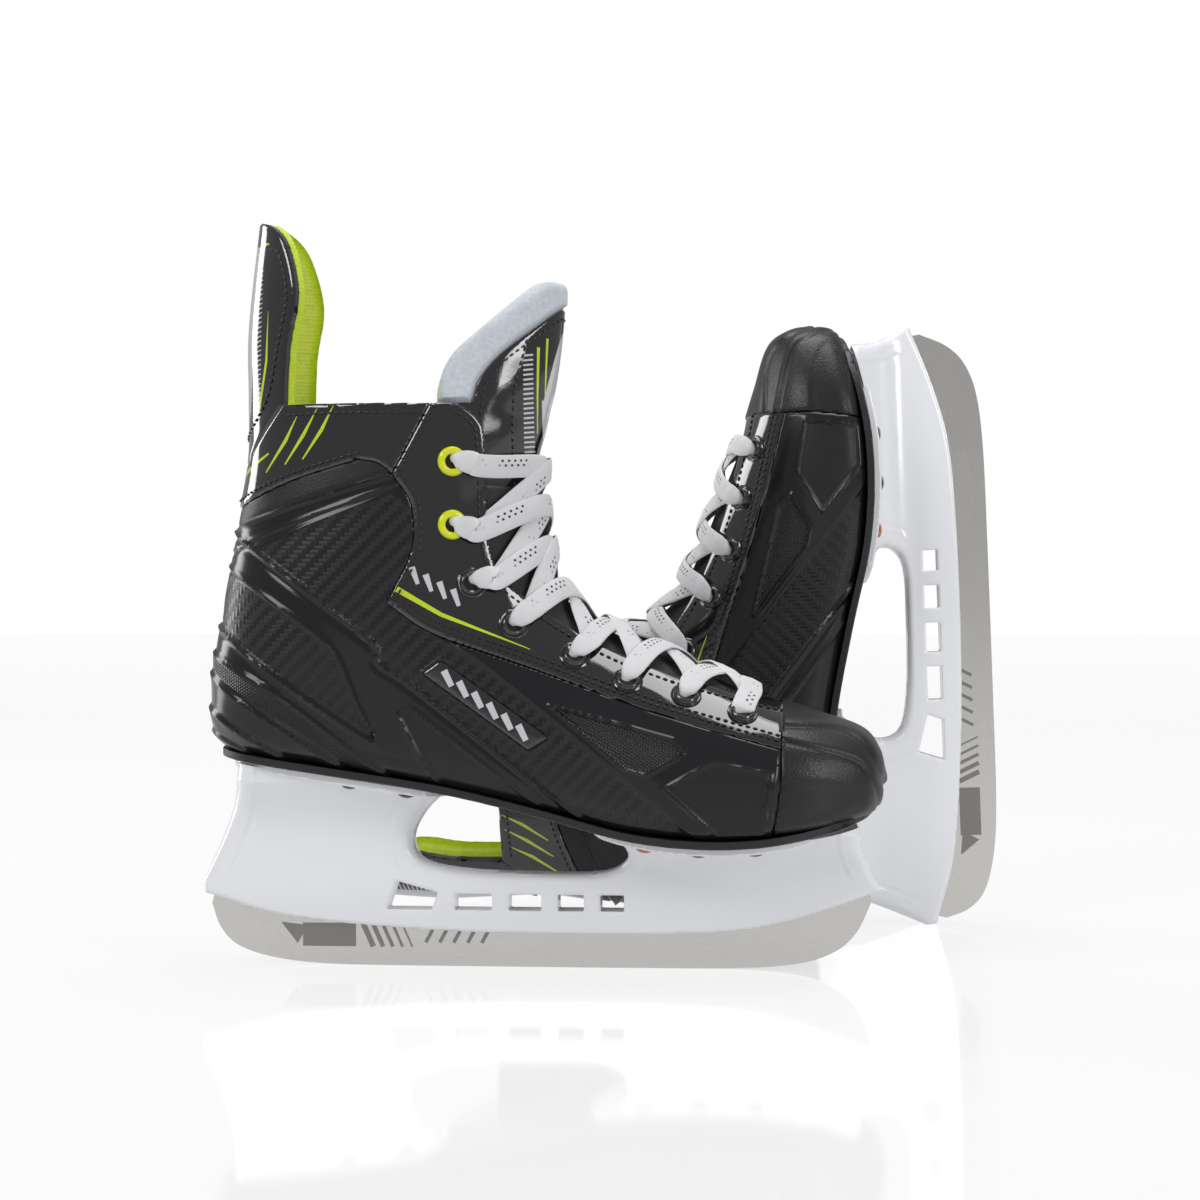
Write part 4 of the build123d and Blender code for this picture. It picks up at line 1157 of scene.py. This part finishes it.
# ---------------------------------------------------------------- linings
foot_space = outline([(-155, RIM_Z), (-40, RIM_Z)], TONGUE_EDGE, [(93, 104), (97, 135)],
                     [(97, 135), (170, 135)],
                     [(170, 135), (170, 40)], [(170, 40), (-155, 40)], [(-155, 40), (-155, RIM_Z)])
rear = np.array([(-12, 40), (-12, 50), (-22, 160), (-22, RIM_Z), (-160, RIM_Z), (-160, 40)], float)
front = np.array([(-11.5, 40), (170, 40), (170, 135), (97, 135), (60, 170), (-21, 170), (-21.5, 160),
                  (-11.5, 50)], float)


def lining(name, region, material):
    """A padded lining of the foot space within one region."""
    points, normals = wall_grid("both")
    x, z = points[..., 0], points[..., 2]
    field = np.minimum(np.minimum(inside(x, z, foot_space), inside(x, z, region)),
                       z - sole_z(x) - LINING_FLOOR)
    deep = INNER_DEPTH + rolled(np.maximum(field, 0), 1.5)
    p, n, m, faces = cut_grid(points - normals * deep[..., None], normals, field, np.zeros(x.shape + (3,)))
    p, m, faces = thicken(p, n, m, faces, LINING_WALL)
    both(name, make_mesh(name, p, faces, m), material, [name])


lining("ankle_lining", rear, LIME_FELT)
lining("vamp_lining", front, DARK_FELT)


# ---------------------------------------------------------------- eyelets, rivets
def eyelet_seats(holes):
    """Places and outward directions of eyelets on both sides."""
    points, outs = [], []
    for side in SIDES:
        p, n = drape(holes, side, 0.0)
        points += list(p)
        outs += list(n)
    return points, outs


LIME_RING = [(3.1, -1.2), (3.1, 0.7), (3.5, 1.35), (4.3, 1.7), (5.3, 1.5), (6.0, 0.9), (6.2, 0.1),
             (6.1, -0.5), (3.9, -0.9)]
BLACK_RING = [(3.0, -2.0), (3.0, 0.3), (3.4, 1.3), (4.2, 1.75), (4.9, 1.3), (5.2, 0.65), (5.7, 0.8),
              (6.3, 0.5), (6.5, -0.3),
              (3.8, -0.8)]
# Profile of a flat disc that fills each eyelet ring: the dark backing seen through the hole, plus painted
# shade for the hole's depth.
HOLE_LINING_AND_SHADE = [(0.0, 0.15), (3.3, 0.15), (3.3, -0.6), (0.0, -0.6)]
for name, holes, ring, material, slot in (("eyelets_lime", LIME_EYELETS, LIME_RING, LIME_PLASTIC,
                                           "eyelet_lime"),
                                          ("eyelets_black", BLACK_EYELETS, BLACK_RING, BLACK_ENAMEL,
                                           "eyelet_black")):
    both(name, set_parts(name, *eyelet_seats(holes), ring, material), material, [name])
# Dark felt disc in every eyelet ring, flush with the surface: the dark backing plus painted shade of the
# hole, since the wall under it has no hole.
both("eyelet_barrels", set_parts("eyelet_barrels", *eyelet_seats(LIME_EYELETS + BLACK_EYELETS), HOLE_LINING_AND_SHADE,
                                 DARK_FELT, 18),
     DARK_FELT)

COPPER_RIVETS = [(-104, 19), (45, 27)]
BLACK_RIVETS = [(-79, 20.5), (-55, 20.5), (67, 29), (90, 28), (111, 21)]
RIVET_DOME = [(0.0, 1.7), (1.4, 1.6), (2.8, 1.1), (3.7, 0.4), (4.0, -0.2), (0.0, -0.2)]


def rivet_seats(places):
    """Places under the holder's flanges, and downward directions."""
    rows = [(x, side * y, sole_z(x) - FLANGE_THICK + 0.1) for x, y in places for side in SIDES]
    return rows, [(0, 0, -1)] * len(rows)


for name, places, material, slot in (("rivets_copper", COPPER_RIVETS, COPPER, "rivet_copper"),
                                     ("rivets_black", BLACK_RIVETS, BLACK_ENAMEL, "rivet_black")):
    both(name, set_parts(name, *rivet_seats(places), RIVET_DOME, material, 24), material, [name])

# ---------------------------------------------------------------- stitching
def sew(name, seams, lift=0.3, bend=None):
    """Stitches on both sides of the boot; each seam is a side path and how far to its left the row runs."""
    rows = [(beside(path, gap), side, lift) for path, gap in seams for side in SIDES]
    both(name, stitched(name, rows, 0.5, THREAD), THREAD, bend=bend)


GUARD_SEAM = [(-127, 216), (-121, 223), (-110, 238)] + GUARD_EDGE[1:4] + [(-111, 307)]
sew("eyestay_stitches", [(EYESTAY_LOW, 2.6), (EYESTAY_LOW, 4.6), (QUARTER_STEP, 2.6), (EYESTAY_FRONT, 3.4),
                         (EYESTAY_TOP, 3.4), (COLLAR_SEAM, 2.4)])
sew("collar_stitches", [(QUARTER_BACK, 2.4), ([(-103, 232.5), (-75, 233), (-46, 232.5)], 0)])
sew("guard_stitches", [(GUARD_SEAM, 4.0)], bend=GUARD_BEND)
sew("tongue_stitches", [(TONGUE_COVER_EDGE, -3.0), ([(-8.5, 204), (-8.5, 240), (-3.5, 264)], 0)],
    lift=-2.7, bend=TONGUE_BEND)


# ---------------------------------------------------------------- laces
def lace_meshes():
    """Laces that cross between the eyestays, and the straight one nearest the toe."""
    holes = [section_of(x, z) for x, z in LIME_EYELETS + BLACK_EYELETS]
    edges = [section_of(x, z) for x, z in LACE_EDGES]
    points, faces, marks = [], [], []

    def over(point):
        """The same point on the other side of the boot."""
        return point[0], math.pi - point[1], point[2]

    def ribbon(controls):
        """Adds one flat lace: gathered in its eyelet, then opening to its full width."""
        nonlocal points, faces, marks
        table = smooth_path(controls, 9)
        path, outs = on_form(table[:, 0], table[:, 1], table[:, 2])
        path = gaussian(path)
        total = np.concatenate([[0], np.cumsum(np.linalg.norm(np.diff(path, axis=0), axis=1))])

        def section(k):
            bunch = step(total[k], 0.0, 11.0)
            half = 0.5 * (GATHERED_WIDTH + (LACE_WIDTH - GATHERED_WIDTH) * bunch)
            thick = 0.95 - 0.25 * bunch
            cup = 0.9 * (1 - bunch) + 0.25
            a = np.linspace(0, 2 * math.pi, 17)[:-1]
            across = half * np.sign(np.cos(a)) * np.abs(np.cos(a)) ** 0.6
            out = thick * np.sign(np.sin(a)) * np.abs(np.sin(a)) ** 0.7 - cup * (across / half) ** 2
            out = out + 0.22 * np.sin(across * 1.3 + total[k] * 0.35) * (1 - 0.5 * bunch)
            return np.stack([across, out], 1)

        ring, quads, uv = swept(path, outs, section)
        faces += [tuple(v + len(points) for v in f) for f in quads]
        points += list(ring)
        marks += list(uv)

    for k, ((s0, t0), (e0, u0)) in enumerate(zip(holes, edges)):
        start = [(s0, t0, -2.5), (s0, t0 + 0.02, 1.9)]
        if k + 1 == len(holes):
            climb = [(e0 * 0.5 + s0 * 0.5, (t0 + u0) / 2, 3.2), (e0, u0, 2.9)]
            near = start + climb
            ribbon(near + [(e0, math.pi / 2, 2.4)] + [over(point) for point in reversed(near)])
            continue
        (s1, _), (e1, u1) = holes[k + 1], edges[k + 1]
        mid = (e0 + e1) / 2
        for side in SIDES:
            crest = 3.0 if (side > 0) == (k % 2 == 0) else 1.4
            controls = start + [(e0 * 0.6 + s0 * 0.4, (t0 + u0) / 2, 3.2), (e0 * 0.9 + mid * 0.1, u0, 2.6),
                                (mid, math.pi / 2, crest), (e1, math.pi - u1 - 0.05, 0.2),
                                (e1 * 0.5 + s1 * 0.5, math.pi - u1 + 0.12, -3.6)]
            ribbon(controls if side > 0 else [over(point) for point in controls])
    return make_mesh("lace", np.array(points), faces, uv=np.array(marks), sharp=60)


def gaussian(path, rounds=3):
    """A path with its small kinks eased, ends kept."""
    out = path.copy()
    for _ in range(rounds):
        out[1:-1] = 0.25 * out[:-2] + 0.5 * out[1:-1] + 0.25 * out[2:]
    return out


both("lace", lace_meshes(), LACE_WHITE, ["lace"])


# ---------------------------------------------------------------- blade holder, runner, outsole
HOLDER_REAR = [(-128, 100), (-128, 84), (-131, 70), (-136, 57), (-145, 36)]
HOLDER_LOW = [(-144.5, 31), (-139, 29.5), (-108, 21), (-52, 16), (0, 14.5), (50, 15), (84, 17),
              (109, 22.5), (139, 33), (143, 34.5)]
HOLDER_FRONT = [(142, 37), (137, 46), (133, 60), (133, 100)]
HOLDER_ARCH = [(-42, 74), (-50, 66), (-55, 55), (-50, 45), (-30, 41), (0, 40), (26, 40.5), (36, 46),
               (36, 53), (28, 58), (22, 61)]
REAR_FLARE = [(4.2, 14), (7.5, 30), (8.5, 45), (10.5, 58), (15, 68), (24, 80)]
FRONT_FLARE = [(4.2, 12), (7.5, 26), (8.5, 36), (12, 44), (20, 50), (33, 60)]
WINDOW_LOW, WINDOW_HIGH = 24.5, 31.5
WINDOWS = [(-37, -21), (-14, 0), (7, 18), (25, 35)]
HEEL_WINDOW = [(-62, 37), (-44, 32), (-47, WINDOW_LOW), (-66, WINDOW_LOW)]
REAR_FLANGE = [(-131, 0), (-129, 14), (-118, 23), (-95, 26.5), (-60, 27), (-46, 22), (-40, 0)]
FRONT_FLANGE = [(20, 0), (27, 25), (55, 36), (85, 38), (110, 31), (127, 17), (133, 0)]
SOLE_PLAN = [(-137.5, 0), (-134, 14), (-122, 26), (-100, 31), (-60, 31), (-25, 32), (10, 37.5), (45, 44),
             (75, 46),
             (100, 43.5), (122, 33), (135, 18), (139.5, 0)]
RUNNER_THICK = 3.2
RUNNER_HEEL = [(-142.5, 26), (-138.5, 15.5), (-130, 7.5), (-112, 2.4), (-85, 0.3), (-30, 0)]
RUNNER_TOE = [(30, 0), (80, 0.4), (108, 2.6), (124, 8), (133, 16.5), (139, 29)]
RUNNER_TOP = [(138, 36), (109, 28.5), (84, 23), (50, 21), (0, 20.5), (-52, 22), (-108, 27), (-140, 35)]


def slab(points_a, points_b, field):
    """A closed form between two faces over the same grid, trimmed where field is negative."""
    a, b, _, faces = cut_grid(points_a, points_b, field, np.zeros(field.shape + (1,)))
    n = len(a)
    directed = {(p, q) for f in faces for p, q in zip(f, f[1:] + f[:1])}
    rim = [(q, p, p + n, q + n) for p, q in directed if (q, p) not in directed]
    return np.vstack([a, b]), faces + [tuple(v + n for v in reversed(f)) for f in faces] + sorted(rim)


def joined(name, parts, sharp=38):
    """One mesh from several (points, faces)."""
    points, faces = [], []
    for p, f in parts:
        faces += [tuple(v + len(points) for v in face) for face in f]
        points += list(p)
    return make_mesh(name, np.array(points), faces, sharp=sharp)


def holder_body():
    """The holder's wall with its arch and windows, flared from the runner up to the flanges."""
    cell = 0.8
    x, z = np.meshgrid(np.arange(-147, 146, cell), np.arange(12, 92, cell), indexing="ij")
    outer = outline(HOLDER_REAR, HOLDER_LOW, HOLDER_FRONT, [(133, 100), (-128, 100)])
    arch = np.vstack([smooth_path(HOLDER_ARCH), [(22, 110), (-42, 110)]])
    edge = np.minimum(inside(x, z, outer), -inside(x, z, arch))
    holes = [np.array([(a, WINDOW_LOW), (b, WINDOW_LOW), (b, WINDOW_HIGH), (a, WINDOW_HIGH)], float)
             for a, b in WINDOWS]
    holes.append(np.array(HEEL_WINDOW, float))
    hole_edge = np.min([-inside(x, z, hole) for hole in holes], axis=0)
    field = np.minimum(np.minimum(edge, hole_edge), sole_z(x) - 1.2 - z)
    rear_half, front_half = (np.interp(z, path[:, 1], path[:, 0])
                             for path in (smooth_path(REAR_FLARE, 8), smooth_path(FRONT_FLARE, 8)))
    half = rear_half + (front_half - rear_half) * step(x, -35, 15)
    radius = np.interp(z, [18, 36, 50, 75], [1.4, 3.0, 6.0, 10.0])
    half = half - np.minimum(rolled(np.maximum(edge, 0), radius),
                             half - 2.2) - rolled(np.maximum(hole_edge, 0), 1.0)
    bead = 0.35 * np.exp(-((edge - 8) ** 2)) - 0.3 * np.exp(-((edge - 10) ** 2))
    half = half + bead * step(z, 38, 44)
    return slab(np.stack([x, half, z], -1), np.stack([x, -half, z], -1), field)


def plate(plan, low, high, roll, dimples=()):
    """A plate that follows the sole between two heights above its underside, with a rounded edge."""
    cell = 0.9
    half = smooth_path(plan)
    loop = np.vstack([half, half[::-1][1:-1] * [1, -1]])
    x, y = np.meshgrid(np.arange(half[:, 0].min() - 1, half[:, 0].max() + 1, cell),
                       np.arange(-48, 48.1, cell), indexing="ij")
    field = inside(x, y, loop)
    fall = rolled(np.maximum(field, 0), roll)
    dish = sum((0.9 * np.exp(-((np.hypot(x - px, np.abs(y) - py) / 4.6) ** 4)) for px, py in dimples),
               np.zeros(x.shape))
    top = np.stack([x, y, sole_z(x) + high - 0.3 * fall], -1)
    bottom = np.stack([x, y, sole_z(x) + low + fall + dish], -1)
    return slab(top, bottom, field)


def runner_mesh():
    """The runner's side outline as a plate with eased edges."""
    loop = outline(RUNNER_HEEL, [(-30, 0), (30, 0)], RUNNER_TOE, [(139, 29), (138, 36)], RUNNER_TOP,
                   [(-140, 35), (-142.5, 26)])
    body = bmesh.new()
    face = body.faces.new([body.verts.new((x, -RUNNER_THICK / 2, z)) for x, z in loop])
    moved = bmesh.ops.extrude_face_region(body, geom=[face])
    bmesh.ops.translate(body, verts=[v for v in moved["geom"] if isinstance(v, bmesh.types.BMVert)],
                        vec=(0, RUNNER_THICK, 0))
    rims = [e for e in body.edges if abs(e.verts[0].co.y - e.verts[1].co.y) < 0.1]
    bmesh.ops.bevel(body, geom=rims, offset=0.35, segments=2, affect="EDGES")
    bmesh.ops.triangulate(body, faces=[f for f in body.faces if len(f.verts) > 4])
    body.verts.index_update()
    points = np.array([v.co[:] for v in body.verts])
    faces = [tuple(v.index for v in f.verts) for f in body.faces]
    body.free()
    return make_mesh("runner", points, faces, sharp=30)


flanges = [plate(plan, -FLANGE_THICK, -0.05, 1.2, [p for p in COPPER_RIVETS + BLACK_RIVETS
                                                   if p[0] * end > 0])
           for plan, end in ((REAR_FLANGE, -1), (FRONT_FLANGE, 1))]
both("holder", joined("holder", [holder_body()] + flanges),
     HOLDER_WHITE, ["holder"])
both("runner", runner_mesh(), STEEL, ["runner"])
both("outsole", joined("outsole", [plate(SOLE_PLAN, 0, OUTSOLE_THICK, 0.9)]), RUBBER,
     ["outsole"])

# ---------------------------------------------------------------- CAD nodes that stay
for foot in FEET:
    for node, material in (("runner_bolts", BOLT_STEEL), ("insole_board", BOARD_BROWN), ("footbed", FOAM),
                           ("ankle_pads", FOAM)):
        kept = frame["nodes"][f"{foot}_{node}"]
        kept.data.materials.clear()
        kept.data.materials.append(material)

# ---------------------------------------------------------------- floor, light, camera
floor = bpy.data.meshes.new("floor")
floor.from_pydata([(-9, -3, 0), (9, -3, 0), (9, 9, 0), (-9, 9, 0)], [], [(0, 1, 2, 3)])
floor_piece = bpy.data.objects.new("studio_floor", floor)
bpy.context.scene.collection.objects.link(floor_piece)
table = Finish("gloss_white_floor", (0.26, 0.26, 0.27), 0.06, specular=0.5)
table.rough(table.ramp(table.noise(table.node("ShaderNodeTexCoord").outputs["Object"], 1.3), 0.3, 0.7,
                       0.05, 0.07))
table.shader.inputs["Emission Color"].default_value = (1, 1, 1, 1)
to_eye = table.node("ShaderNodeLightPath").outputs["Is Camera Ray"]
table.put(table.shader.inputs["Emission Strength"], table.ramp(to_eye, 0.0, 1.0, 0.42, 0.66))
floor.materials.append(table.material)


def soft_light(name, place, aim, width, height, power):
    """A rectangular lamp at a place, turned to its aim."""
    lamp = bpy.data.lights.new(name, "AREA")
    lamp.shape, lamp.size, lamp.size_y, lamp.energy = "RECTANGLE", width, height, power
    piece = bpy.data.objects.new(name, lamp)
    bpy.context.scene.collection.objects.link(piece)
    piece.location = place
    piece.rotation_euler = (Vector(aim) - Vector(place)).to_track_quat("-Z", "Y").to_euler()


soft_light("key_softbox", (-1.3, -1.5, 1.5), (0, 0, 0.12), 1.0, 0.8, 17)
soft_light("fill_softbox", (1.5, -1.1, 0.8), (0, 0, 0.15), 0.5, 0.9, 10)
soft_light("top_softbox", (0.1, 0.2, 1.7), (0, 0, 0), 1.3, 0.9, 15)
soft_light("rim_softbox", (-1.5, 0.6, 0.6), (0, 0, 0.15), 0.5, 1.2, 9)

world = bpy.data.worlds.new("white_studio")
bpy.context.scene.world = world
world.use_nodes = True
sky = Wiring(world.node_tree)
backdrop = world.node_tree.nodes["Background"]
backdrop.inputs["Color"].default_value = (1, 1, 1, 1)
seen = sky.node("ShaderNodeLightPath").outputs["Is Camera Ray"]
sky.put(backdrop.inputs["Strength"], sky.ramp(seen, 0.0, 1.0, 0.34, 1.0))
bpy.context.scene.view_settings.view_transform = "Standard"

camera = bpy.data.cameras.new("studio_camera")
camera.lens, camera.sensor_width = 66.96, 36.0
eye = bpy.data.objects.new("studio_camera", camera)
eye.location = (0.0601, -1.0160, 0.156)
eye.rotation_euler = (math.radians(90), 0, math.radians(4))
bpy.context.scene.collection.objects.link(eye)
bpy.context.scene.camera = eye
